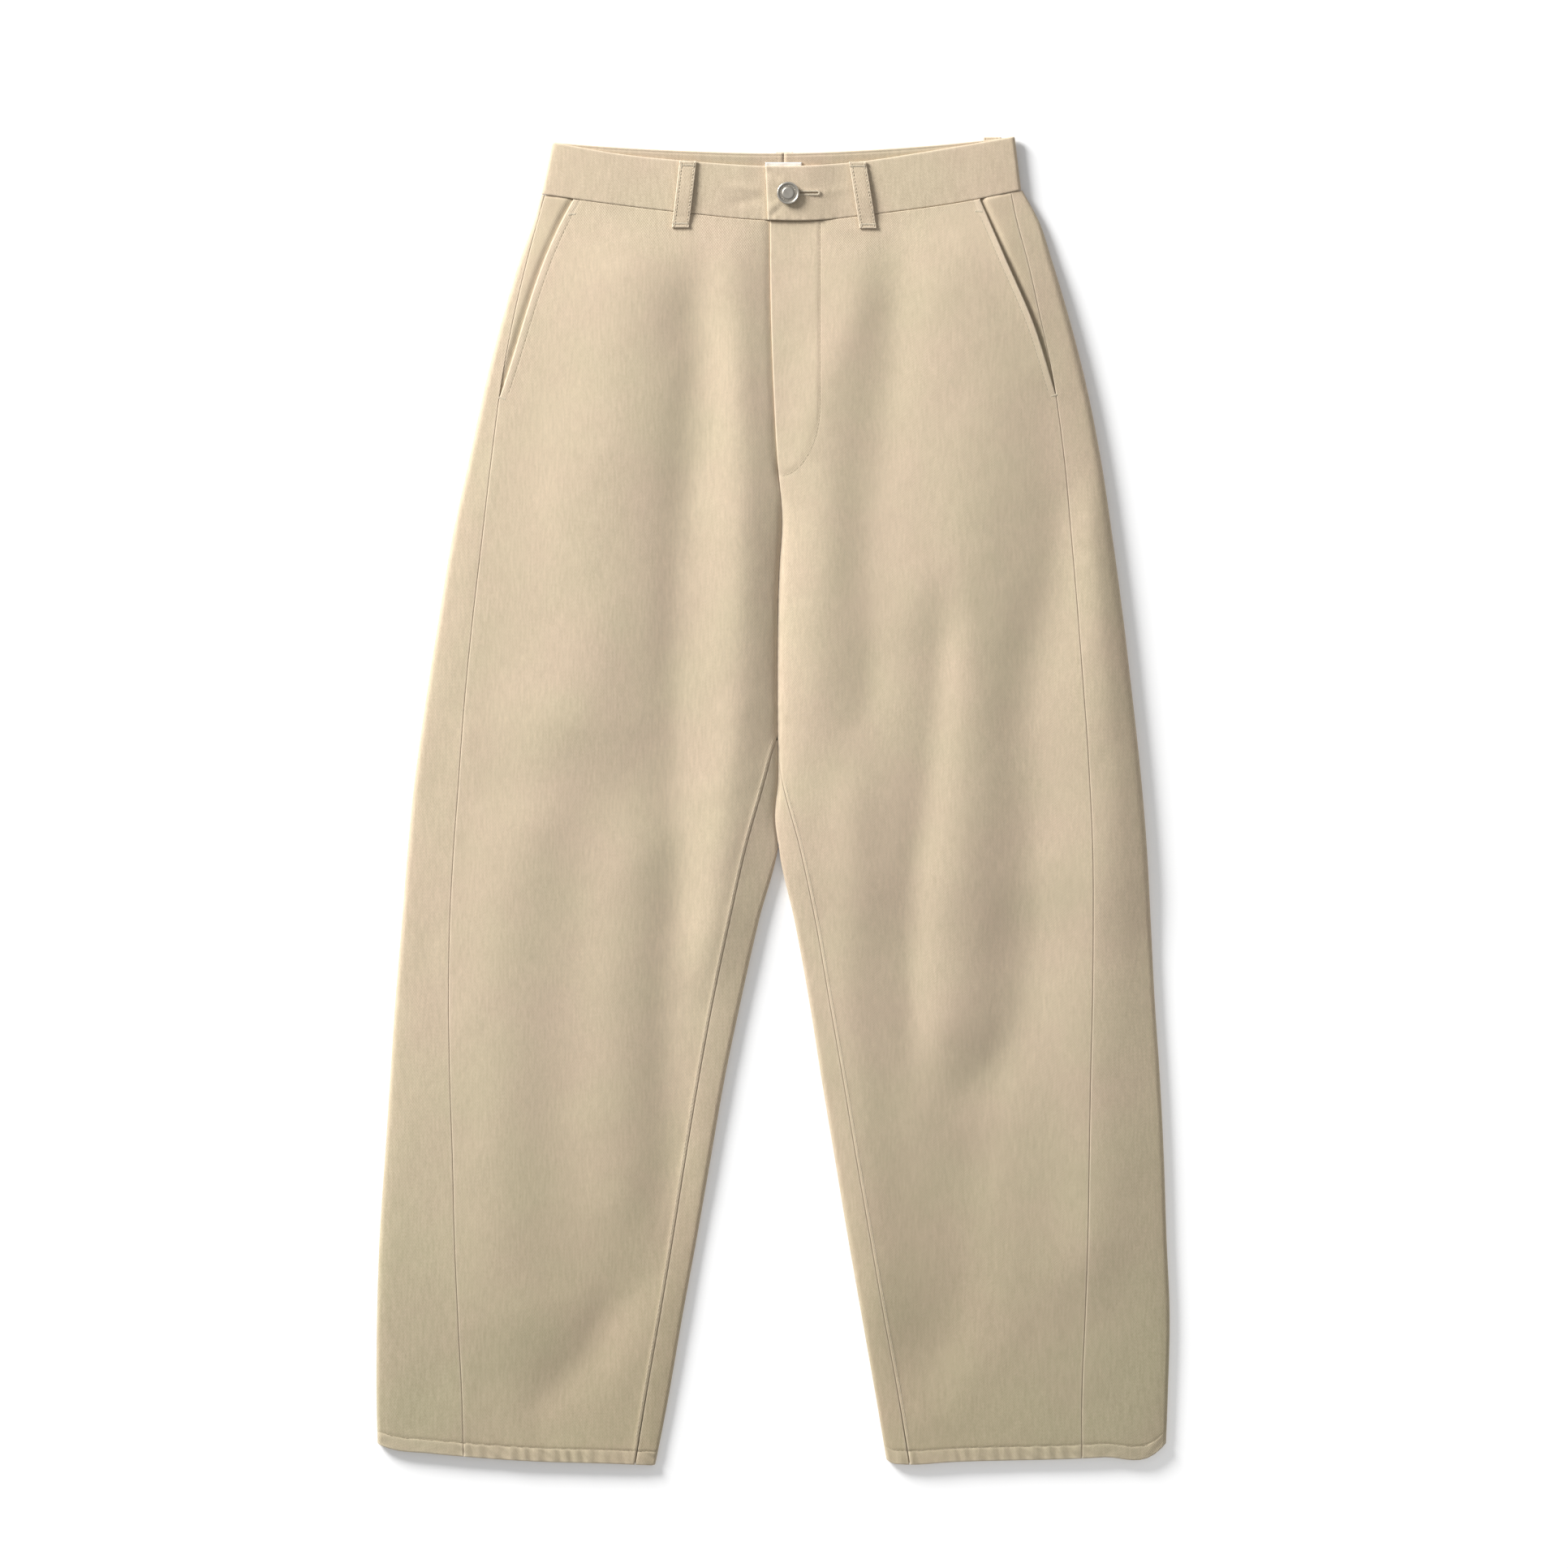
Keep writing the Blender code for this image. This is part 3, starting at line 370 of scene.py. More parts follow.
def front_height(x, y, side):
    """Height of the outside of a front panel, with its mouth, fly and stitch lines."""
    sign = side_sign(side)
    height = top_height(x, y, side) + mouth_lift(x, y, side)
    from_hem = y - through(x, HEM[side]["x"], HEM[side]["y"])
    height = height + hem_form(x, from_hem)
    mouth = through(y, POCKET[side]["y"], POCKET[side]["x"])
    from_mouth = sign * (mouth - x)
    at_mouth = (y > POCKET_END[side])
    height = height + 0.08 * ease((MOUTH_STITCH - from_mouth) / 1.5) * at_mouth
    height = height + groove(from_mouth - MOUTH_STITCH, 0.14, 0.6) * at_mouth
    from_inseam = sign * (x - inseam(y, side))
    below_rise = ease((RISE_MEETS_INSEAM[side] - y) / 4.0)
    height = height + INSEAM_RIDGE[side] * np.exp(-((from_inseam - 1.6) / 1.5) ** 2) * below_rise
    if side == "left":
        inside = fly_distance(x, y)
        above = y > FLY_END_Y
        return height + (FLY_RAISE * ease(inside / FLY_SLOPE) + groove(inside, 0.2, 0.6)) * above
    across = x - centre_line(y) + UNDERLAP_SLOPE["from"]
    above = y - FLY_END_Y + UNDERLAP_RUN_OUT["from"]
    under = ease(across / UNDERLAP_SLOPE["over"]) * ease(above / UNDERLAP_RUN_OUT["over"])
    return height - UNDERLAP_DROP * under


def strip_height(x, y, side):
    """Height of the strips of the back that show on top of the leg."""
    from_hem = y - through(x, HEM[side]["x"], HEM[side]["y"])
    return top_height(x, y, side) + hem_form(x, from_hem)


def rim_fall(distance, wall):
    """How far each face of a cloth edge closes in to make its rounded rim."""
    radius = wall / 2
    inside = np.clip(radius - distance, 0.0, radius)
    return 0.62 * (radius - np.sqrt(np.maximum(radius * radius - inside * inside, 0.0)))


def leg_rows(side):
    """Level rows from the waist seam to the hem, close together near both ends
    and over the curved end of the fly stitching."""
    top = [SEAM_ROW - step for step in TOP_SPREAD]
    low = [HEM_ROW + step for step in HEM_SPREAD]
    count = int((top[-1] - low[0]) / ROW_STEP)
    middle = list(np.linspace(top[-1], low[0], count + 1)[1:-1])
    if side == "left":
        close = np.arange(FLY_ROWS["from"], FLY_ROWS["to"], -FLY_ROWS["step"])
        middle = [r for r in middle if not FLY_ROWS["to"] < r < FLY_ROWS["from"] + 1.0]
        middle = sorted(middle + list(close), reverse=True)
    marks = [RISE_MEETS_INSEAM["right"], RISE_MEETS_INSEAM["left"], CROTCH_ROW]
    for mark in marks:
        nearest = int(np.argmin([abs(row - mark) for row in middle]))
        middle[nearest] = mark
    return np.array(top + middle + low)


def cloth_shell(name, outer, inner, live, wear):
    """Join an outer and an inner sheet of points into one closed wall of cloth.

    Wear is kept on the points, so that the cloth's colour can be paler at edges.
    """
    rows, columns = live.shape
    used = np.zeros((rows + 1, columns + 1), bool)
    for down in (0, 1):
        for along in (0, 1):
            used[down:rows + down, along:columns + along] |= live
    count = int(used.sum())
    index = np.zeros(used.shape, int)
    index[used] = np.arange(count)
    corners = [index[:-1, :-1], index[:-1, 1:], index[1:, 1:], index[1:, :-1]]
    ring = [corner[live] for corner in corners]
    faces = [np.stack(ring, axis=1), np.stack(ring[::-1], axis=1) + count]
    padded = np.pad(live, 1)
    beside = [padded[:-2, 1:-1], padded[1:-1, 2:], padded[2:, 1:-1], padded[1:-1, :-2]]
    for k in range(4):
        rim = live & ~beside[k]
        first = corners[k][rim]
        second = corners[(k + 1) % 4][rim]
        faces.append(np.stack((second, first, first + count, second + count), axis=1))
    faces = np.concatenate(faces)
    points = np.concatenate((outer[used], inner[used])) * MM
    corner = points[faces]
    turn = np.cross(corner[:, 1] - corner[:, 0], corner[:, 2] - corner[:, 0])
    turn = turn + np.cross(corner[:, 2] - corner[:, 0], corner[:, 3] - corner[:, 0])
    if np.sum(corner.mean(axis=1) * turn) < 0:
        faces = faces[:, ::-1]
    mesh = bpy.data.meshes.new(name)
    mesh.vertices.add(len(points))
    mesh.vertices.foreach_set("co", points.ravel())
    mesh.loops.add(4 * len(faces))
    mesh.loops.foreach_set("vertex_index", np.ascontiguousarray(faces).ravel())
    mesh.polygons.add(len(faces))
    mesh.polygons.foreach_set("loop_start", np.arange(0, 4 * len(faces), 4))
    mesh.update(calc_edges=True)
    mesh.validate()
    mesh.shade_smooth()
    worn = mesh.attributes.new("wear", "FLOAT", "POINT")
    worn.data.foreach_set("value", np.concatenate((wear[used], wear[used])))
    thing = bpy.data.objects.new(name, mesh)
    bpy.context.collection.objects.link(thing)
    return thing


def plain_mesh(name, points, faces):
    """A smooth mesh from points in millimetres."""
    mesh = bpy.data.meshes.new(name)
    mesh.from_pydata([tuple(c * MM for c in point) for point in points], [], faces)
    mesh.validate()
    mesh.shade_smooth()
    mesh.set_sharp_from_angle(angle=math.radians(40))
    thing = bpy.data.objects.new(name, mesh)
    bpy.context.collection.objects.link(thing)
    return thing


def run_of_stitches(path, pitch=3.1, length=2.4):
    """Where each stitch of a seam starts and ends along a path."""
    path = np.asarray(path, float)
    step = np.hypot(path[1:, 0] - path[:-1, 0], path[1:, 1] - path[:-1, 1])
    along = np.concatenate(([0.0], np.cumsum(step)))
    first = np.arange(0.3, along[-1] - length, pitch)
    ends = []
    for at in (first, first + length):
        ends.append(np.stack((np.interp(at, along, path[:, 0]),
                              np.interp(at, along, path[:, 1])), axis=1))
    return ends[0], ends[1]


def bar_of_stitches(start, end, width, pitch=0.42):
    """A bar tack: short stitches laid close together across a line."""
    start = np.array(start, float)
    run = np.array(end, float) - start
    length = math.hypot(run[0], run[1])
    aside = np.array((-run[1], run[0])) / length * width / 2
    middles = start + run * np.arange(0.0, 1.0, pitch / length)[:, None]
    return middles - aside, middles + aside


def add_stitches(kept, starts, ends, height, thick=0.5):
    """Lay a rounded length of thread from each start to each end, on the cloth."""
    share = np.array((0.0, 0.16, 0.5, 0.84, 1.0))
    radius = np.array((0.35, 0.85, 1.0, 0.85, 0.35)) * thick / 2
    x = starts[:, :1] + (ends[:, :1] - starts[:, :1]) * share
    y = starts[:, 1:] + (ends[:, 1:] - starts[:, 1:]) * share
    length = np.hypot(x[:, -1:] - x[:, :1], y[:, -1:] - y[:, :1])
    aside_x = (y[:, :1] - y[:, -1:]) / length
    aside_y = (x[:, -1:] - x[:, :1]) / length
    z = height(x, y) + 0.12 * thick - 0.2 * thick * (2 * share - 1) ** 4
    turn = 2 * math.pi * np.arange(6) / 6
    out = radius[None, :, None] * np.cos(turn)
    ring_x = x[:, :, None] + aside_x[:, :, None] * out
    ring_y = y[:, :, None] + aside_y[:, :, None] * out
    ring_z = z[:, :, None] + radius[None, :, None] * np.sin(turn)
    first = len(kept["points"])
    kept["points"].extend(np.stack((ring_x, ring_y, ring_z), axis=3).reshape(-1, 3).tolist())
    for stitch in range(len(starts)):
        base = first + stitch * 30
        for ring in range(4):
            for k in range(6):
                here = base + ring * 6
                kept["faces"].append((here + k, here + (k + 1) % 6,
                                      here + 6 + (k + 1) % 6, here + 6 + k))
        kept["faces"].append(tuple(base + k for k in reversed(range(6))))
        kept["faces"].append(tuple(base + 24 + k for k in range(6)))


def socket(group, name, kind, way, value=None):
    made = group.interface.new_socket(name=name, in_out=way, socket_type=kind)
    if value is not None:
        made.default_value = value
    return made


def math_node(tree, operation, first, second=None):
    """A Math node whose inputs are sockets or plain numbers."""
    node = tree.nodes.new("ShaderNodeMath")
    node.operation = operation
    for slot, value in zip(node.inputs, (first, second)):
        if isinstance(value, (int, float)):
            slot.default_value = value
        elif value is not None:
            tree.links.new(value, slot)
    return node.outputs[0]


def noise_node(tree, vector, scale, detail):
    node = tree.nodes.new("ShaderNodeTexNoise")
    node.inputs["Scale"].default_value = scale
    node.inputs["Detail"].default_value = detail
    tree.links.new(vector, node.inputs["Vector"])
    return node.outputs["Fac"]


def mix_colour(tree, blend, factor, first, second):
    node = tree.nodes.new("ShaderNodeMix")
    node.data_type = "RGBA"
    node.blend_type = blend
    for slot, value in ((node.inputs[0], factor), (node.inputs[6], first),
                        (node.inputs[7], second)):
        if isinstance(value, (int, float, tuple)):
            slot.default_value = value
        else:
            tree.links.new(value, slot)
    return node.outputs[2]


# Twill: steep slanting wales of yarn, with slubs along the grain, blotches left by the wash, paler worn
# edges, and painted shade that darkens it and tints it olive towards the hem and the outer sides.
twill_group = bpy.data.node_groups.new("twill weave", "ShaderNodeTree")
socket(twill_group, "Vector", "NodeSocketVector", "INPUT")
socket(twill_group, "Slant", "NodeSocketFloat", "INPUT", 0.5)
socket(twill_group, "Pitch", "NodeSocketFloat", "INPUT", 1.15)
socket(twill_group, "Wear", "NodeSocketFloat", "INPUT", 0.0)
socket(twill_group, "Yarn", "NodeSocketColor", "INPUT", (0.6, 0.5, 0.36, 1.0))
socket(twill_group, "Shadow", "NodeSocketColor", "INPUT", (0.5, 0.41, 0.28, 1.0))
socket(twill_group, "Worn", "NodeSocketColor", "INPUT", (0.68, 0.6, 0.46, 1.0))
socket(twill_group, "Color", "NodeSocketColor", "OUTPUT")
socket(twill_group, "Height", "NodeSocketFloat", "OUTPUT")
socket(twill_group, "Roughness", "NodeSocketFloat", "OUTPUT")
group_in = twill_group.nodes.new("NodeGroupInput")
group_out = twill_group.nodes.new("NodeGroupOutput")
turned = twill_group.nodes.new("ShaderNodeVectorRotate")
turned.rotation_type = "Z_AXIS"
twill_group.links.new(group_in.outputs["Vector"], turned.inputs["Vector"])
twill_group.links.new(group_in.outputs["Slant"], turned.inputs["Angle"])
split = twill_group.nodes.new("ShaderNodeSeparateXYZ")
twill_group.links.new(turned.outputs["Vector"], split.inputs[0])
wander = noise_node(twill_group, group_in.outputs["Vector"], 55.0, 2.0)
across = math_node(twill_group, "DIVIDE", split.outputs["X"], group_in.outputs["Pitch"])
across = math_node(twill_group, "MULTIPLY", across, 1000.0)
across = math_node(twill_group, "ADD", across, math_node(twill_group, "MULTIPLY", wander, 1.1))
wale = math_node(twill_group, "SINE", math_node(twill_group, "MULTIPLY", across, 2 * math.pi))
along = math_node(twill_group, "MULTIPLY", split.outputs["Y"], 1000.0)
stagger = math_node(twill_group, "MULTIPLY", math_node(twill_group, "FLOOR", across), 0.5)
along = math_node(twill_group, "ADD", along, stagger)
float_wave = math_node(twill_group, "SINE",
                       math_node(twill_group, "MULTIPLY", along, 2 * math.pi / 0.9))
fuzz = noise_node(twill_group, group_in.outputs["Vector"], 1500.0, 3.0)
weave = math_node(twill_group, "ADD", math_node(twill_group, "MULTIPLY", wale, 0.32),
                  math_node(twill_group, "MULTIPLY", float_wave, 0.14))
weave = math_node(twill_group, "ADD", math_node(twill_group, "ADD", weave, 0.25),
                  math_node(twill_group, "MULTIPLY", fuzz, 0.5))
stretch = twill_group.nodes.new("ShaderNodeMapping")
stretch.inputs["Scale"].default_value = (640.0, 90.0, 90.0)
twill_group.links.new(group_in.outputs["Vector"], stretch.inputs["Vector"])
slub = noise_node(twill_group, stretch.outputs["Vector"], 1.0, 3.0)
fleck = noise_node(twill_group, group_in.outputs["Vector"], 620.0, 2.0)
blotch = noise_node(twill_group, group_in.outputs["Vector"], 16.0, 4.0)
tone = math_node(twill_group, "ADD", math_node(twill_group, "MULTIPLY", weave, 0.75),
                 math_node(twill_group, "MULTIPLY", math_node(twill_group, "SUBTRACT", slub, 0.5), 0.8))
tone = math_node(twill_group, "ADD", tone,
                 math_node(twill_group, "MULTIPLY", math_node(twill_group, "SUBTRACT", fleck, 0.5), 0.7))
tone_clamp = twill_group.nodes.new("ShaderNodeClamp")
twill_group.links.new(tone, tone_clamp.inputs["Value"])
colour = mix_colour(twill_group, "MIX", tone_clamp.outputs[0], group_in.outputs["Shadow"],
                    group_in.outputs["Yarn"])
patchy = math_node(twill_group, "MULTIPLY", math_node(twill_group, "SUBTRACT", blotch, 0.36), 3.4)
patch_clamp = twill_group.nodes.new("ShaderNodeClamp")
twill_group.links.new(patchy, patch_clamp.inputs["Value"])
warm = mix_colour(twill_group, "MIX", patch_clamp.outputs[0], (0.985, 1.003, 0.960, 1.0),
                  (1.018, 0.992, 0.985, 1.0))
colour = mix_colour(twill_group, "MULTIPLY", 1.0, colour, warm)
level = twill_group.nodes.new("ShaderNodeSeparateXYZ")
twill_group.links.new(group_in.outputs["Vector"], level.inputs[0])
# Painted shade: darker and more olive towards the hem and the outer sides, standing in for the lamp's
# light falling off there.
low_down = twill_group.nodes.new("ShaderNodeMapRange")
low_down.interpolation_type = "SMOOTHSTEP"
low_down.inputs["From Min"].default_value = -0.12
low_down.inputs["From Max"].default_value = -0.50
twill_group.links.new(level.outputs["Y"], low_down.inputs["Value"])
outwards = twill_group.nodes.new("ShaderNodeMapRange")
outwards.interpolation_type = "SMOOTHSTEP"
outwards.inputs["From Min"].default_value = 0.06
outwards.inputs["From Max"].default_value = 0.28
twill_group.links.new(math_node(twill_group, "ABSOLUTE", level.outputs["X"]),
                      outwards.inputs["Value"])
painted_falloff_shade = math_node(twill_group, "MULTIPLY", low_down.outputs[0],
                    math_node(twill_group, "ADD", 2.2, outwards.outputs[0]))
painted_falloff_tint = mix_colour(twill_group, "MIX", outwards.outputs[0], (0.82, 0.83, 0.755, 1.0),
                   (0.81, 0.86, 0.80, 1.0))
colour = mix_colour(twill_group, "MIX", math_node(twill_group, "MULTIPLY", painted_falloff_shade, 0.31), colour,
                    mix_colour(twill_group, "MULTIPLY", 1.0, colour, painted_falloff_tint))
rub = math_node(twill_group, "MULTIPLY", group_in.outputs["Wear"],
                math_node(twill_group, "ADD", 0.25, fuzz))
colour = mix_colour(twill_group, "MIX", rub, colour, group_in.outputs["Worn"])
twill_group.links.new(colour, group_out.inputs["Color"])
twill_group.links.new(weave, group_out.inputs["Height"])
rough = math_node(twill_group, "ADD", 0.82, math_node(twill_group, "MULTIPLY", fuzz, 0.14))
twill_group.links.new(rough, group_out.inputs["Roughness"])

TWILL_YARN = (0.694, 0.570, 0.428, 1.0)
TWILL_SHADOW = (0.455, 0.368, 0.262, 1.0)
TWILL_WORN = (0.690, 0.585, 0.450, 1.0)


def twill_material(name, slant, yarn=TWILL_YARN, shadow=TWILL_SHADOW, pitch=1.15, depth=0.22):
    """Washed twill, with the slant of its wales in radians from straight up."""
    made = bpy.data.materials.new(name)
    made.use_nodes = True
    tree = made.node_tree
    shader = tree.nodes["Principled BSDF"]
    shader.inputs["Sheen Weight"].default_value = 0.12
    shader.inputs["Sheen Roughness"].default_value = 0.6
    shader.inputs["Specular IOR Level"].default_value = 0.25
    place = tree.nodes.new("ShaderNodeTexCoord")
    worn = tree.nodes.new("ShaderNodeAttribute")
    worn.attribute_name = "wear"
    weave = tree.nodes.new("ShaderNodeGroup")
    weave.node_tree = twill_group
    weave.inputs["Slant"].default_value = slant
    weave.inputs["Pitch"].default_value = pitch
    weave.inputs["Yarn"].default_value = yarn
    weave.inputs["Shadow"].default_value = shadow
    weave.inputs["Worn"].default_value = TWILL_WORN
    tree.links.new(place.outputs["Object"], weave.inputs["Vector"])
    tree.links.new(worn.outputs["Fac"], weave.inputs["Wear"])
    bump = tree.nodes.new("ShaderNodeBump")
    bump.inputs["Strength"].default_value = 0.7
    bump.inputs["Distance"].default_value = depth * MM
    tree.links.new(weave.outputs["Height"], bump.inputs["Height"])
    tree.links.new(weave.outputs["Color"], shader.inputs["Base Color"])
    tree.links.new(weave.outputs["Roughness"], shader.inputs["Roughness"])
    tree.links.new(bump.outputs["Normal"], shader.inputs["Normal"])
    return made


FRONT_TWILL = {"right": twill_material("front twill right", 0.50),
               "left": twill_material("front twill left", 0.62)}
FRONT_CUT = {"flat": (0.262, 0.968), "area": 0.19}
for side in ("right", "left"):
    sign = side_sign(side)
    rows = leg_rows(side)[:, None]
    middle = np.linspace(0.0, 1.0, FRONT_STEPS + 1)[1:-1]
    share = np.concatenate((np.zeros(len(SEAM_SPREAD)), middle, np.ones(len(FLY_SPREAD))))
    in_from_ends = FLY_SPREAD[0] * middle - SEAM_SPREAD[-1] * (1 - middle)
    offset = np.concatenate((-np.array(SEAM_SPREAD), in_from_ends, np.array(FLY_SPREAD)))
    y = np.repeat(rows, len(share), axis=1)
    for _ in range(SETTLE_STEPS):
        first, last = front_edges(y, side)
        x = first + (last - first) * share + sign * offset
        y = follow_edges(x, rows, side, 0.0)
    first, last = front_edges(y, side)
    z = front_height(x, y, side)
    from_top = SEAM_ROW - rows
    from_hem = rows - HEM_ROW
    at_mouth = (y > POCKET_END[side]) * ease((MOUTH_STITCH + 1.0 - np.abs(x - first)) / 1.5)
    at_fly = (y > FLY_END_Y) * (side == "left") * ease((8.0 - np.abs(x - last)) / 2.0)
    wall = PANEL_WALL + (FOLDED_WALL - PANEL_WALL) * np.maximum(at_mouth, at_fly)
    wall = np.maximum(wall, FOLDED_WALL * (from_hem < HEM_DEPTH))
    edge = np.minimum(np.abs(x - first), np.abs(x - last))
    fall = rim_fall(edge, wall)
    fall = np.maximum(fall, rim_fall(from_top + 0 * x, wall))
    fall = np.maximum(fall, rim_fall(from_hem + 0 * x, wall))
    wear = 0.3 * np.exp(-(edge / 1.3) ** 2) + 0.3 * np.exp(-(from_hem / 1.5) ** 2)
    wear = wear + 0.2 * at_mouth + 0.2 * (from_hem < HEM_DEPTH)
    outer = np.stack((x, y, z - fall), axis=2)
    inner = np.stack((x, y, z - wall + fall), axis=2)
    live = np.ones((x.shape[0] - 1, x.shape[1] - 1), bool)
    piece = cloth_shell("leg_front_" + side, outer, inner, live, np.clip(wear, 0, 1))
    piece.data.materials.append(FRONT_TWILL[side])
    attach(piece, "root")
    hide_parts("front_" + side)

# The sewing of the legs: one row down the fly and round its end, one along each
# pocket mouth, one along the inseam, one round each hem, and four bar tacks.
def thread_material(name, colour):
    """Spun thread: a dull sheen, with its twist and a little fluff."""
    made = bpy.data.materials.new(name)
    made.use_nodes = True
    tree = made.node_tree
    shader = tree.nodes["Principled BSDF"]
    shader.inputs["Roughness"].default_value = 0.7
    shader.inputs["Sheen Weight"].default_value = 0.2
    place = tree.nodes.new("ShaderNodeTexCoord")
    twist = noise_node(tree, place.outputs["Object"], 3200.0, 2.0)
    patch = noise_node(tree, place.outputs["Object"], 60.0, 2.0)
    shade = math_node(tree, "ADD", math_node(tree, "MULTIPLY", twist, 0.6),
                      math_node(tree, "MULTIPLY", patch, 0.5))
    dark = tuple(0.7 * part for part in colour[:3]) + (1.0,)
    tree.links.new(mix_colour(tree, "MIX", shade, dark, colour), shader.inputs["Base Color"])
    bump = tree.nodes.new("ShaderNodeBump")
    bump.inputs["Strength"].default_value = 0.6
    bump.inputs["Distance"].default_value = 0.05 * MM
    tree.links.new(twist, bump.inputs["Height"])
    tree.links.new(bump.outputs["Normal"], shader.inputs["Normal"])
    return made


THREAD = thread_material("tonal thread", (0.66, 0.57, 0.43, 1.0))
# The fly, pocket and hem rows: a thread partly darker in its own colour and partly painted shade of the
# ditches the stitches sit in.
DARK_THREAD_AND_DITCH_SHADE = thread_material("darker thread and painted ditch shade", (0.40, 0.33, 0.225, 1.0))
BAR_TACKS = {"right": (((-155.0, 444.0), (-149.5, 444.6)), ((-207.5, 305.4), (-202.5, 304.2))),
             "left": (((153.4, 446.8), (158.8, 446.0)), ((210.4, 306.2), (215.2, 307.6)))}
INSEAM_STITCH = 2.2
leg_sewing = {}
for side in ("right", "left"):
    sign = side_sign(side)
    kept = {"points": [], "faces": []}
    ridge_kept = {"points": [], "faces": []}

    def on_front(x, y):
        return front_height(x, y, side)

    y = np.linspace(443.0, POCKET_END[side] + 2.0, 60)
    x = through(y, POCKET[side]["y"], POCKET[side]["x"]) - sign * MOUTH_STITCH
    add_stitches(kept, *run_of_stitches(np.stack((x, y), axis=1)), on_front)
    if side == "left":
        y = np.linspace(438.5, FLY_CURVE_Y, 50)
        straight = np.stack((np.full(50, FLY_X), y), axis=1)
        turn = np.linspace(0.0, math.pi / 2, 40)[1:-1]
        y = FLY_CURVE_Y - (FLY_CURVE_Y - FLY_END_Y) * np.sin(turn)
        x = centre_line(y) + (FLY_X - centre_line(y)) * np.cos(turn)
        path = np.concatenate((straight, np.stack((x, y), axis=1)))
        add_stitches(kept, *run_of_stitches(path), on_front)
    y = np.linspace(RISE_MEETS_INSEAM[side] - 20.0, HEM_ROW + HEM_DEPTH + 6.0, 200)
    x = inseam(y, side) + sign * INSEAM_STITCH
    add_stitches(ridge_kept, *run_of_stitches(np.stack((x, y), axis=1)), on_front)
    ends = [section(np.array(-490.0), name, side) for name in ("fold", "inner")]
    x = np.linspace(ends[0] - sign * 3.0, ends[1] + sign * 3.0, 90)
    y = through(x, HEM[side]["x"], HEM[side]["y"]) + HEM_DEPTH

    def on_strip(x, y):
        return strip_height(x, y, side)

    add_stitches(kept, *run_of_stitches(np.stack((x, y), axis=1)), on_strip)
    for start, end in BAR_TACKS[side]:
        add_stitches(ridge_kept, *bar_of_stitches(start, end, 1.7), on_front, 0.45)
    leg_sewing[side] = []
    for name, rows, thread in (("leg_sewing_", kept, DARK_THREAD_AND_DITCH_SHADE),
                               ("leg_ridge_sewing_", ridge_kept, THREAD)):
        sewing = plain_mesh(name + side, rows["points"], rows["faces"])
        sewing.data.materials.append(thread)
        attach(sewing, "root")
        leg_sewing[side].append(sewing)

# The back legs: two panels that lie beneath and wrap round both folds, so that a
# strip of each shows beyond the side seam and the inseam of the front.
BACK_LIFT_REACH = 45.0
BAND_UNDERSIDE = 2.0
FOLD_PROBE = 2.3
LEAST_STRIP = 0.5
LEAST_RADIUS = 0.5
INNER_FOLD_GROWS = 30.0
STRIP_SHARE = (0.0, 0.004, 0.012, 0.025, 0.045, 0.08, 0.13, 0.2, 0.28, 0.37, 0.46,
               0.55, 0.64, 0.73, 0.82, 0.91, 1.0)
RETURN_SHARE = (0.12, 0.25, 0.4, 0.55, 0.7, 0.82, 0.9, 0.95, 0.975, 0.99, 1.0)
FOLD_STEPS = 10
UNDER_STEPS = 22


def back_lift(x, y):
    """The back rises off the surface near the waist, over the back loops."""
    seam = through(x, BACK_SEAM["x"], BACK_SEAM["y"])
    return BAND_UNDERSIDE * ease((y - seam + BACK_LIFT_REACH) / BACK_LIFT_REACH)


def inward(x, z, sign):
    """Unit directions into the wall along each section path."""
    run_x = np.gradient(x, axis=1)
    run_z = np.gradient(z, axis=1)
    length = np.hypot(run_x, run_z)
    length = np.where(length < 1e-9, 1.0, length)
    return sign * run_z / length, -sign * run_x / length


def settled_edge(rows, name, side):
    """An edge of the leg on each row, read at the height where it really lies."""
    y = rows
    for _ in range(SETTLE_STEPS):
        edge = section(y, name, side)
        y = follow_edges(edge, rows, side, 0.0)
    return edge, y


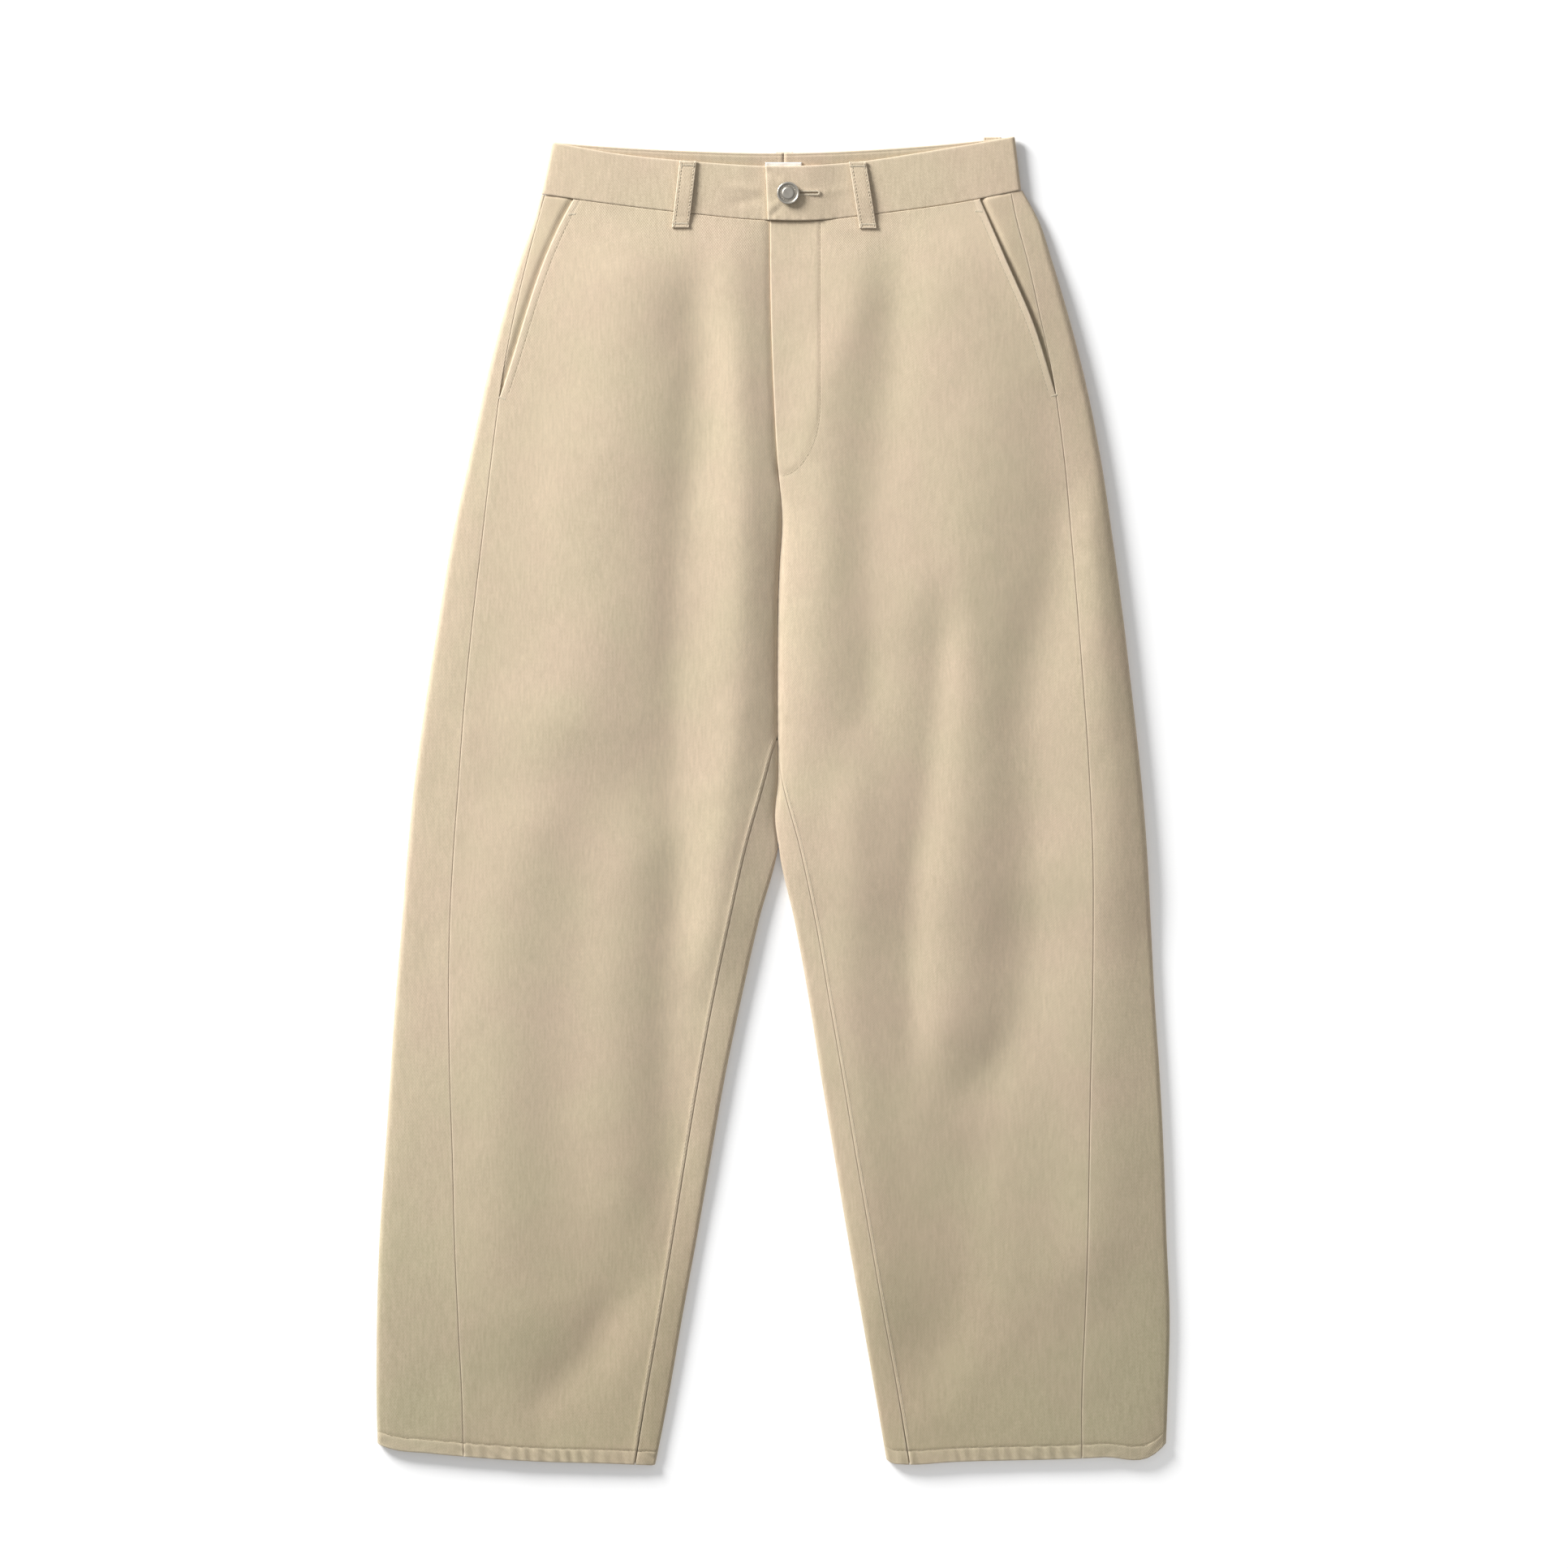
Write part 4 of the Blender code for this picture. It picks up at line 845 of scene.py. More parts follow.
BACK_TWILL = {"right": twill_material("back twill right", 0.44),
              "left": twill_material("back twill left", 0.56)}
for side in ("right", "left"):
    sign = side_sign(side)
    rows = leg_rows(side)[:, None]
    closed = rows <= CROTCH_ROW
    edge, y_edge = settled_edge(rows, "fold", side)
    lift = back_lift(edge, y_edge)
    radius = (strip_height(edge - sign * FOLD_PROBE, y_edge, side) - lift) / 2
    start = edge - sign * radius
    seam, y_seam = settled_edge(rows, "side", side)
    seam = sign * np.minimum(sign * seam + HALF_GAP, sign * start - LEAST_STRIP)
    turn = np.linspace(0.0, math.pi, FOLD_STEPS + 1)[None, 1:]
    over = seam + (start - seam) * np.array(STRIP_SHARE)
    outer_fold = start + sign * radius * np.sin(turn)
    inner = inner_edge(rows, side) + sign * HALF_GAP
    inner_radius = strip_height(inner + sign * FOLD_PROBE, rows, side) / 2
    grown = np.sqrt(np.clip((CROTCH_ROW - rows) / INNER_FOLD_GROWS, 0.01, 1.0))
    inner_radius = inner_radius * grown
    centre = centre_line(rows) + sign * HALF_GAP
    inner_start = np.where(closed, inner + sign * inner_radius, centre)
    under = start + (inner_start - start) * np.linspace(0.0, 1.0, UNDER_STEPS + 1)[None, 1:]
    inner_fold = inner_start - sign * inner_radius * np.sin(turn)
    end = inseam(rows, side) - sign * HALF_GAP
    end = sign * np.maximum(sign * end, sign * inner_start + LEAST_STRIP)
    back = inner_start + (end - inner_start) * np.array(RETURN_SHARE)
    x = np.concatenate((over, outer_fold, under, inner_fold, back), axis=1)
    layer = np.concatenate((np.zeros(len(STRIP_SHARE)), turn[0] / math.pi,
                            np.ones(UNDER_STEPS), 1 - turn[0] / math.pi,
                            np.zeros(len(RETURN_SHARE))))
    y = follow_edges(x, rows, side, layer)
    z = strip_height(x, y, side)
    beneath = np.broadcast_to(layer == 1.0, z.shape)
    z = np.where(beneath, back_lift(x, y), z)
    first_fold = len(STRIP_SHARE)
    first_under = first_fold + FOLD_STEPS
    first_inner = first_under + UNDER_STEPS
    first_return = first_inner + FOLD_STEPS
    z[:, first_fold:first_under] = lift + radius * (1 + np.cos(turn))
    level = z[:, first_return - 1:first_return]
    z[:, first_inner:first_return] = level * (1 - np.cos(turn)) / 2
    into_x, into_z = inward(x, z, sign)
    opened = ~closed[:, 0]
    for column, way, which in ((0, -1.0, slice(None)), (x.shape[1] - 1, -1.0, slice(None)),
                               (first_inner - 1, 1.0, opened), (first_return - 1, -1.0, opened)):
        into_x[which, column] = 0.0
        into_z[which, column] = way
    from_hem = rows - HEM_ROW
    wall = np.full(x.shape, PANEL_WALL)
    wall = np.maximum(wall, FOLDED_WALL * (from_hem < HEM_DEPTH))
    wall[:, :first_under + 1] = np.minimum(wall[:, :first_under + 1], radius - LEAST_RADIUS)
    arcs = slice(first_inner - 1, first_return + 1)
    thinner = np.minimum(wall[:, arcs], 0.6 * inner_radius)
    wall[:, arcs] = np.where(closed, thinner, wall[:, arcs])
    from_seam = np.abs(x - seam) + 100.0 * (layer > 0)
    from_end = np.abs(x - end) + 100.0 * (layer > 0)
    edge_gap = np.minimum(from_seam, from_end)
    fall = rim_fall(edge_gap, wall)
    fall = np.maximum(fall, rim_fall(SEAM_ROW - rows + 0 * x, wall))
    fall = np.maximum(fall, rim_fall(from_hem + 0 * x, wall))
    wear = 0.3 * np.exp(-(edge_gap / 1.3) ** 2) + 0.3 * np.exp(-(from_hem / 1.5) ** 2)
    wear = wear + 0.2 * (from_hem < HEM_DEPTH)
    outer = np.stack((x + into_x * fall, y, z + into_z * fall), axis=2)
    depth = wall - fall
    inner_sheet = np.stack((x + into_x * depth, y, z + into_z * depth), axis=2)
    live = np.ones((x.shape[0] - 1, x.shape[1] - 1), bool)
    open_rows = rows[:-1, 0] > CROTCH_ROW
    live[open_rows, first_inner - 1:first_return - 1] = False
    live[rows[:-1, 0] >= RISE_MEETS_INSEAM[side], first_return - 1:] = False
    piece = cloth_shell("leg_back_" + side, outer, inner_sheet, live, np.clip(wear, 0, 1))
    piece.data.materials.append(BACK_TWILL[side])
    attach(piece, "root")
    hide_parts("back_" + side)

# The pocket facings: the cloth seen in each slanted mouth, tucked under the front
# and sewn into the side seam and the waist seam.
FACING_WALL = 1.0
FACING_UNDER = 18.0
FACING_DROP = {"right": PANEL_WALL + 0.15, "left": PANEL_WALL + 0.8}
FACING_SLOPE = 6.0
FACING_ROWS = 64
FACING_SHARE = (0.0, 0.01, 0.03, 0.07, 0.14, 0.24, 0.36, 0.48, 0.6, 0.7, 0.78, 0.85, 0.91,
                0.96, 1.0, 1.0, 1.0, 1.0, 1.0, 1.0)
FACING_TUCK = (0.0, 0.0, 0.0, 0.0, 0.0, 0.0, 0.0, 0.0, 0.0, 0.0, 0.0, 0.0, 0.0, 0.0, 0.0,
               1.5, 3.5, FACING_SLOPE, 11.0, FACING_UNDER)
for side in ("right", "left"):
    sign = side_sign(side)
    rows = np.linspace(SEAM_ROW, POCKET_END[side] - 8.0, FACING_ROWS)[:, None]
    y = np.repeat(rows, len(FACING_SHARE), axis=1)
    for _ in range(SETTLE_STEPS):
        seam = section(y, "side", side) - sign * HALF_GAP
        mouth = through(y, POCKET[side]["y"], POCKET[side]["x"])
        mouth = sign * np.minimum(sign * mouth, sign * seam)
        x = seam + (mouth - seam) * np.array(FACING_SHARE) - sign * np.array(FACING_TUCK)
        y = follow_edges(x, rows, side, 0.0)
    drop = FACING_DROP[side] * ease((sign * (mouth - x) + FACING_SLOPE) / FACING_SLOPE)
    z = top_height(x, y, side) - drop
    edge = np.abs(x - seam)
    fall = np.maximum(rim_fall(edge, FACING_WALL), rim_fall(SEAM_ROW - rows + 0 * x, FACING_WALL))
    outer = np.stack((x, y, z - fall), axis=2)
    inner = np.stack((x, y, z - FACING_WALL + fall), axis=2)
    live = np.ones((x.shape[0] - 1, x.shape[1] - 1), bool)
    piece = cloth_shell("facing_" + side, outer, inner, live, 0.4 * np.exp(-(edge / 1.3) ** 2))
    piece.data.materials.append(twill_material("facing twill " + side, 0.5,
                                               (0.600, 0.505, 0.360, 1.0)))
    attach(piece, "root")
    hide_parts("pocket_facing_" + side)

# The waistband: a straight band of two layers in two halves, joined at the centre
# back, with the wearer's left end lapped over the right at the button.
BAND_WALL = 2.4
BAND_TOP = 8.2
UNDERLAP_TOP = 8.0
OVERLAP_TOP = 10.6
BAND_EDGE_FALL = 0.8
BAND_EDGE_REACH = 10.0
BAND_FOLD_RADIUS = 2.7
BAND_UNDERLAP_X = 35.4
BAND_OVERLAP_X = {"lower": -4.0, "upper": -5.8}
BAND_LAP = {"right": -24.0, "left": 56.0}
BAND_LAP_SLOPE = {"right": 14.0, "left": 33.0}
UNDERLAP_DIVE = {"from": 20.0, "over": 12.0, "depth": 1.5}
BAND_END = {"right": {"lower": -175.6, "upper": -167.0},
            "left": {"lower": 187.9, "upper": 183.0}}
FRONT_EDGE = {"x": (-167, -118, -64, -5.8, 21.8, 64, 121.5, 183),
              "y": (498.8, 490.2, 484.6, 480.9, 480.9, 484.0, 492.6, 503.1)}
BACK_EDGE = {"x": (-167, -143, -69, 4.6, 90.7, 167.6, 183),
             "y": (498.8, 496.8, 492.5, 490.7, 494.2, 501.2, 503.1)}
CENTRE_BACK_X = 8.3
BAND_DEPTH = 40.0
BAND_SPREAD = (0.0, 0.2, 0.5, 0.9, 1.4, 2.2, 3.4, 5.0, 7.0, 9.0, 11.0, 13.0, 15.0, 17.0,
               18.5, 19.6, 20.3, 21.0, 21.8, 22.6, 23.6, 25.0, 27.0, 29.0, 31.0, 33.0,
               34.6, 35.6, 36.3, 36.8, 37.3, 38.0, 38.6, 39.1, 39.5, 39.8, 40.0)
BUTTON_AT = (11.4, 460.0)
BUTTONHOLE = {"from": 20.0, "to": 34.0, "y": 460.3}
PINCHES = (
    (9.0, 466.0, -5.0, 473.0, 2.6, 0.55),
    (6.0, 470.0, -5.0, 479.0, 2.4, -0.45),
    (8.0, 455.0, -4.5, 447.0, 2.6, 0.5),
    (7.0, 450.0, -3.0, 441.5, 2.2, -0.4),
    (-8.0, 462.0, -36.0, 466.0, 3.5, 0.5),
    (-8.0, 456.0, -34.0, 452.0, 3.2, -0.45),
    (36.0, 461.0, 58.0, 463.0, 3.5, 0.35),
)
INSIDE_SEAM = 2.0
INSIDE_LIP = {"height": 2.2, "reach": 9.0}


def band_height(x, side, from_fold):
    """Height of the outside of the front band, over the lap at the button."""
    level = BAND_TOP - BAND_EDGE_FALL * np.exp(-from_fold / BAND_EDGE_REACH)
    rise = (UNDERLAP_TOP if side == "right" else OVERLAP_TOP) - BAND_TOP
    into_lap = side_sign(side) * (BAND_LAP[side] - x)
    level = level + rise * ease(into_lap / BAND_LAP_SLOPE[side])
    if side == "right":
        past_label = (x - UNDERLAP_DIVE["from"]) / UNDERLAP_DIVE["over"]
        level = level - UNDERLAP_DIVE["depth"] * ease(past_label)
    return level


BAND_TWILL = {"right": twill_material("band twill right", -0.95),
              "left": twill_material("band twill left", -0.95)}
for side in ("right", "left"):
    sign = side_sign(side)
    share = np.array(BAND_SPREAD)[:, None] / BAND_DEPTH
    fold = BAND_END[side]["lower"] * (1 - share) + BAND_END[side]["upper"] * share
    if side == "right":
        front_end = BAND_UNDERLAP_X + 0 * share
    else:
        front_end = BAND_OVERLAP_X["lower"] * (1 - share) + BAND_OVERLAP_X["upper"] * share
    radius = (band_height(fold, side, BAND_FOLD_RADIUS) - BAND_UNDERSIDE) / 2
    start = fold - sign * radius
    near = np.concatenate(((0.0, 0.003, 0.01, 0.02, 0.035), np.linspace(0.05, 1.0, 58)))
    lap = front_end + (BAND_LAP[side] - front_end) * near
    front = BAND_LAP[side] + (start - BAND_LAP[side]) * np.linspace(0, 1, 61)[None, 1:]
    turn = np.linspace(0.0, math.pi, FOLD_STEPS + 1)[None, 1:]
    fold_x = start + sign * radius * np.sin(turn)
    centre_back = CENTRE_BACK_X + sign * 0.02
    under = start + (centre_back - start) * np.linspace(0, 1, 71)[None, 1:]
    x = np.concatenate((lap, front, fold_x, under), axis=1)
    counts = (lap.shape[1] + front.shape[1], FOLD_STEPS, under.shape[1])
    layer = np.concatenate((np.zeros(counts[0]), turn[0] / math.pi, np.ones(counts[2])))
    front_low = through(x, WAIST_SEAM["x"], WAIST_SEAM["y"])
    front_high = through(x, FRONT_EDGE["x"], FRONT_EDGE["y"])
    back_low = through(x, BACK_SEAM["x"], BACK_SEAM["y"])
    back_high = through(x, BACK_EDGE["x"], BACK_EDGE["y"])
    low = front_low * (1 - layer) + back_low * layer + HALF_GAP
    high = front_high * (1 - layer) + back_high * layer
    y = low + (high - low) * share
    from_fold = np.abs(fold - x)
    z = band_height(x, side, from_fold)
    z = z + crease_relief(x, y, PINCHES) + 0.7 * rumple(x, y)
    ripple = np.sin(2 * math.pi * x / 8.5 + 1.5 * np.sin(x * 0.06))
    z = z + 0.12 * ripple * np.exp(-(share * BAND_DEPTH / 4.0) ** 2)
    if side == "left":
        slot_end = np.clip(x, BUTTONHOLE["from"], BUTTONHOLE["to"])
        from_slot = np.hypot(x - slot_end, y - BUTTONHOLE["y"])
        z = z + 0.35 * np.exp(-((from_slot - 1.6) / 1.0) ** 2) + groove(from_slot, 1.0, 0.7)
    z[:, counts[0] - 1:] = 0.0
    z[:, counts[0] - 1:counts[0]] = BAND_UNDERSIDE + 2 * radius
    z[:, counts[0]:counts[0] + FOLD_STEPS] = BAND_UNDERSIDE + radius * (1 + np.cos(turn))
    z[:, counts[0] + FOLD_STEPS:] = BAND_UNDERSIDE
    into_x, into_z = inward(x, z, sign)
    for column, way in ((0, -1.0), (x.shape[1] - 1, 1.0)):
        into_x[:, column] = 0.0
        into_z[:, column] = way
    from_low = share * BAND_DEPTH + 0 * x
    from_high = (1 - share) * BAND_DEPTH + 0 * x
    from_end = np.abs(x - front_end) + 100.0 * (layer > 0)
    edge = np.minimum(np.minimum(from_low, from_high), from_end)
    fall = rim_fall(edge, BAND_WALL)
    wear = 0.4 * np.exp(-(from_high / 1.4) ** 2) + 0.3 * np.exp(-(from_low / 1.2) ** 2)
    wear = wear + 0.3 * np.exp(-(from_end / 1.4) ** 2)
    depth = BAND_WALL - fall + groove(from_high - INSIDE_SEAM, 0.35, 0.6)
    depth = depth + INSIDE_LIP["height"] * layer * np.exp(-(from_high / INSIDE_LIP["reach"]) ** 2)
    outer = np.stack((x + into_x * fall, y, z + into_z * fall), axis=2)
    inner = np.stack((x + into_x * depth, y, z + into_z * depth), axis=2)
    live = np.ones((x.shape[0] - 1, x.shape[1] - 1), bool)
    piece = cloth_shell("band_" + side, outer, inner, live, np.clip(wear, 0, 1))
    piece.data.materials.append(BAND_TWILL[side])
    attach(piece, "root")
    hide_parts("waistband_" + side)

# The buttonhole: close stitches round a slot, the eye of it under the button.
hole_kept = {"points": [], "faces": []}


def on_overlap(x, y):
    return OVERLAP_TOP + 0.25 + 0 * x


starts = []
ends = []
hole_from = BUTTONHOLE["from"]
hole_to = BUTTONHOLE["to"]
for x in np.arange(hole_from - 2.0, hole_to, 0.45):
    for way in (-1.0, 1.0):
        starts.append((x, BUTTONHOLE["y"] + way * 0.5))
        ends.append((x, BUTTONHOLE["y"] + way * 2.1))
for angle in np.linspace(-math.pi / 2, math.pi / 2, 9):
    starts.append((hole_to + 0.4 * math.cos(angle), BUTTONHOLE["y"] + 0.4 * math.sin(angle)))
    ends.append((hole_to + 2.0 * math.cos(angle), BUTTONHOLE["y"] + 2.0 * math.sin(angle)))
add_stitches(hole_kept, np.array(starts), np.array(ends), on_overlap, 0.5)
hole_sewing = plain_mesh("buttonhole_sewing", hole_kept["points"], hole_kept["faces"])
hole_sewing.data.materials.append(THREAD)
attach(hole_sewing, "root")

# The belt loops: narrow folded strips with two rows of stitching, tacked down at
# both ends; two show on the front and three lie beneath on the back of the band.
LOOP_WIDTH = 13.0
LOOP_WALL = 1.5
LOOP_TAIL = 6.0
LOOP_GAP = 0.3
LOOP_ACROSS = (-6.5, -6.35, -6.0, -5.5, -5.0, -4.6, -4.2, -3.7, -3.0, -1.8, -0.6,
               0.6, 1.8, 3.0, 3.7, 4.2, 4.6, 5.0, 5.5, 6.0, 6.35, 6.5)
FRONT_LOOPS = {"right": {"top": (-64.3, 484.4), "bottom": (-70.1, 434.0)},
               "left": {"top": (64.0, 483.8), "bottom": (72.0, 433.4)}}
BACK_LOOPS = {"centre_back": {"x": 8.3, "above": 1.0},
              "back_left": {"x": 166.0, "above": 2.0},
              "back_right": {"x": -150.0, "above": 0.0}}
LOOP_TWILL = twill_material("loop twill", -0.35)


def loop_shell(name, middle, y, under):
    """A belt loop on its line of middles, one for each row of y."""
    across = np.array(LOOP_ACROSS)
    x = middle[:, None] + across
    grid_y = np.repeat(y[:, None], len(across), axis=1)
    from_side = LOOP_WIDTH / 2 - np.abs(across)
    ends = np.minimum(np.abs(y - y[0]), np.abs(y - y[-1]))[:, None]
    fall = np.maximum(rim_fall(from_side + 0 * x, LOOP_WALL), rim_fall(ends + 0 * x, LOOP_WALL))
    rows = groove(np.abs(across) - 4.6, 0.22, 0.6) + 0 * x
    tack = groove(ends - 3.2, 0.3, 0.9)
    top = under[:, None] + LOOP_WALL - fall + rows + tack
    top = top + 0.12 * np.sin(grid_y * 0.9) * (np.abs(across) > 4.6)
    wear = 0.7 * np.exp(-(from_side / 0.9) ** 2) + 0.6 * np.exp(-(ends / 0.9) ** 2)
    outer = np.stack((x, grid_y, top), axis=2)
    inner = np.stack((x, grid_y, under[:, None] + 0 * x), axis=2)
    live = np.ones((x.shape[0] - 1, x.shape[1] - 1), bool)
    made = cloth_shell("loop_" + name, outer, inner, live, np.clip(wear, 0, 1))
    made.data.materials.append(LOOP_TWILL)
    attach(made, "root")
    return made


loop_lines = {}
LOOP_ENDS = np.array((0.0, 0.15, 0.4, 0.8, 1.4, 2.0, 2.6, 3.2, 3.8, 4.6))
for side in ("right", "left"):
    top = FRONT_LOOPS[side]["top"]
    bottom = FRONT_LOOPS[side]["bottom"]
    seam = float(through(np.array(bottom[0]), WAIST_SEAM["x"], WAIST_SEAM["y"]))
    between = np.linspace(top[1] - 6.0, bottom[1] + 6.0, 24)
    y = np.concatenate((top[1] - LOOP_ENDS, between, bottom[1] + LOOP_ENDS[::-1]))
    share = (top[1] - y) / (top[1] - bottom[1])
    middle = top[0] + (bottom[0] - top[0]) * share
    spread = middle[:, None] + np.array((-6.5, -3.0, 0.0, 3.0, 6.5))
    spread_y = np.repeat(y[:, None], 5, axis=1)
    panel = front_height(spread, spread_y, side).max(axis=1)
    on_band = ease((y - seam + 4.0) / 3.4)
    arch = 0.9 * np.sin(math.pi * np.clip(share, 0.0, 1.0)) ** 2
    under = panel + (BAND_TOP + 0.35 - panel) * on_band + LOOP_GAP + arch
    loop_lines[side] = (y, under, middle)
    loop_shell("front_" + side, middle, y, under)
    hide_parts("belt_loop_front_" + side)
for name, place in BACK_LOOPS.items():
    high = float(through(np.array(place["x"]), BACK_EDGE["x"], BACK_EDGE["y"]))
    low = float(through(np.array(place["x"]), BACK_SEAM["x"], BACK_SEAM["y"]))
    first = high + place["above"]
    last = low - LOOP_TAIL
    between = np.linspace(first - 6.0, last + 6.0, 16)
    y = np.concatenate((first - LOOP_ENDS, between, last + LOOP_ENDS[::-1]))
    loop_shell(name, np.full(len(y), place["x"]), y, np.zeros(len(y)))
    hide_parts("belt_loop_" + name)

LOOP_ROW = 4.6
loop_kept = {"points": [], "faces": []}
for side in ("right", "left"):
    top = FRONT_LOOPS[side]["top"]
    bottom = FRONT_LOOPS[side]["bottom"]
    lay = loop_lines[side]

    def on_loop(x, y):
        return np.interp(-y, -lay[0], lay[1]) + LOOP_WALL

    for off in (-LOOP_ROW, LOOP_ROW):
        path = np.stack((np.interp(-lay[0], -lay[0], lay[2]) + off, lay[0]), axis=1)[3:-3]
        add_stitches(loop_kept, *run_of_stitches(path, 2.6, 2.0), on_loop, 0.55)
    for y, x in ((top[1] - 3.2, top[0]), (bottom[1] + 3.2, bottom[0])):
        add_stitches(loop_kept, *bar_of_stitches((x - 5.8, y), (x + 5.8, y), 1.5), on_loop, 0.4)
loop_sewing = plain_mesh("loop_sewing", loop_kept["points"], loop_kept["faces"])
loop_sewing.data.materials.append(THREAD)
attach(loop_sewing, "root")

# The button: a cast shank button with a raised rim, a ring of small beads in the
# place of any lettering, and a low disc in its middle.
BUTTON_BASE = OVERLAP_TOP + 0.3
BUTTON_PROFILE = ((3.2, -0.3), (3.2, 0.9), (7.2, 1.0), (7.9, 1.2), (8.35, 1.7), (8.5, 2.3),
                  (8.5, 2.9), (8.38, 3.3), (8.1, 3.6), (7.75, 3.7), (7.4, 3.62), (7.15, 3.4),
                  (6.95, 3.15), (6.7, 3.05), (4.7, 3.05), (4.45, 3.15), (4.3, 3.4), (4.0, 3.55),
                  (3.6, 3.6), (2.4, 3.5), (1.2, 3.45), (0.0, 3.45))
BUTTON_STEPS = 72
BEADS = 26
BEAD_RING = 5.7
BEAD_RADIUS = 0.32


def metal_material(name):
    """Dull plated brass, rubbed bright where it stands up and dark in its hollows."""
    made = bpy.data.materials.new(name)
    made.use_nodes = True
    tree = made.node_tree
    shader = tree.nodes["Principled BSDF"]
    shader.inputs["Metallic"].default_value = 0.9
    place = tree.nodes.new("ShaderNodeTexCoord")
    cloud = noise_node(tree, place.outputs["Object"], 420.0, 4.0)
    fine = noise_node(tree, place.outputs["Object"], 2600.0, 2.0)
    height = tree.nodes.new("ShaderNodeSeparateXYZ")
    tree.links.new(place.outputs["Object"], height.inputs[0])
    lift = tree.nodes.new("ShaderNodeMapRange")
    lift.inputs["From Min"].default_value = (BUTTON_BASE + 2.9) * MM
    lift.inputs["From Max"].default_value = (BUTTON_BASE + 3.6) * MM
    tree.links.new(height.outputs["Z"], lift.inputs["Value"])
    worn = math_node(tree, "MULTIPLY", lift.outputs[0], math_node(tree, "ADD", 0.45, cloud))
    colour = mix_colour(tree, "MIX", worn, (0.26, 0.235, 0.195, 1.0), (0.60, 0.565, 0.50, 1.0))
    tree.links.new(colour, shader.inputs["Base Color"])
    rough = math_node(tree, "SUBTRACT", 0.58, math_node(tree, "MULTIPLY", worn, 0.25))
    tree.links.new(rough, shader.inputs["Roughness"])
    bump = tree.nodes.new("ShaderNodeBump")
    bump.inputs["Strength"].default_value = 0.35
    bump.inputs["Distance"].default_value = 0.05 * MM
    tree.links.new(fine, bump.inputs["Height"])
    tree.links.new(bump.outputs["Normal"], shader.inputs["Normal"])
    return made


points = []
faces = []
rings = len(BUTTON_PROFILE)
for step in range(BUTTON_STEPS):
    angle = 2 * math.pi * step / BUTTON_STEPS
    for radius, height in BUTTON_PROFILE:
        points.append((BUTTON_AT[0] + radius * math.cos(angle),
                       BUTTON_AT[1] + radius * math.sin(angle), BUTTON_BASE + height))
for step in range(BUTTON_STEPS):
    here = step * rings
    after = (step + 1) % BUTTON_STEPS * rings
    for k in range(rings - 1):
        faces.append((here + k, after + k, after + k + 1, here + k + 1))
faces.append(tuple(step * rings for step in reversed(range(BUTTON_STEPS))))
for bead in range(BEADS):
    angle = 2 * math.pi * bead / BEADS
    middle = (BUTTON_AT[0] + BEAD_RING * math.cos(angle),
              BUTTON_AT[1] + BEAD_RING * math.sin(angle), BUTTON_BASE + 3.0)
    start = len(points)
    for ring in range(4):
        tilt = math.pi / 2 * ring / 3
        for k in range(8):
            turn = 2 * math.pi * k / 8
            points.append((middle[0] + BEAD_RADIUS * math.cos(tilt) * math.cos(turn),
                           middle[1] + BEAD_RADIUS * math.cos(tilt) * math.sin(turn),
                           middle[2] + BEAD_RADIUS * math.sin(tilt)))
    for ring in range(3):
        for k in range(8):
            here = start + ring * 8
            faces.append((here + k, here + (k + 1) % 8, here + 8 + (k + 1) % 8, here + 8 + k))
button = plain_mesh("button_shank", points, faces)
button.data.materials.append(metal_material("button metal"))
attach(button, "root")
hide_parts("button")

# The label: a small plain woven tab, folded in at its ends and sewn to the inside
# of the back of the band.
LABEL = {"x": (-5.8, 21.8), "y": (468.0, 483.6)}
LABEL_BASE = BAND_UNDERSIDE + BAND_WALL + 0.3
LABEL_WALL = 0.7
LABEL_COLUMNS = 40
LABEL_ROWS = 26
across = np.linspace(LABEL["x"][0], LABEL["x"][1], LABEL_COLUMNS)[None, :]
up = np.linspace(LABEL["y"][1], LABEL["y"][0], LABEL_ROWS)[:, None]
x = across + 0 * up
y = up + 0 * across
from_end = np.minimum(x - LABEL["x"][0], LABEL["x"][1] - x)
from_long = np.minimum(y - LABEL["y"][0], LABEL["y"][1] - y)
z = LABEL_BASE + LABEL_WALL + 0.15 * np.sin(x * 0.5) * ease(from_long / 3.0)
z = z + 0.2 * ease((2.6 - from_end) / 0.6) + groove(from_end - 1.8, 0.2, 0.4)
below_edge = through(x, BACK_EDGE["x"], BACK_EDGE["y"]) - y
lip = INSIDE_LIP["height"] * np.exp(-(below_edge / INSIDE_LIP["reach"]) ** 2)
z = z + lip
fall = rim_fall(np.minimum(from_end, from_long), LABEL_WALL)
outer = np.stack((x, y, z - fall), axis=2)
inner = np.stack((x, y, LABEL_BASE + lip), axis=2)
live = np.ones((LABEL_ROWS - 1, LABEL_COLUMNS - 1), bool)
label = cloth_shell("label_plain", outer, inner, live, 0 * x)
label.data.materials.append(twill_material("label weave", 0.0, (0.80, 0.79, 0.76, 1.0),
                                           (0.74, 0.73, 0.69, 1.0), 0.45, 0.08))
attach(label, "root")
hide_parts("label")
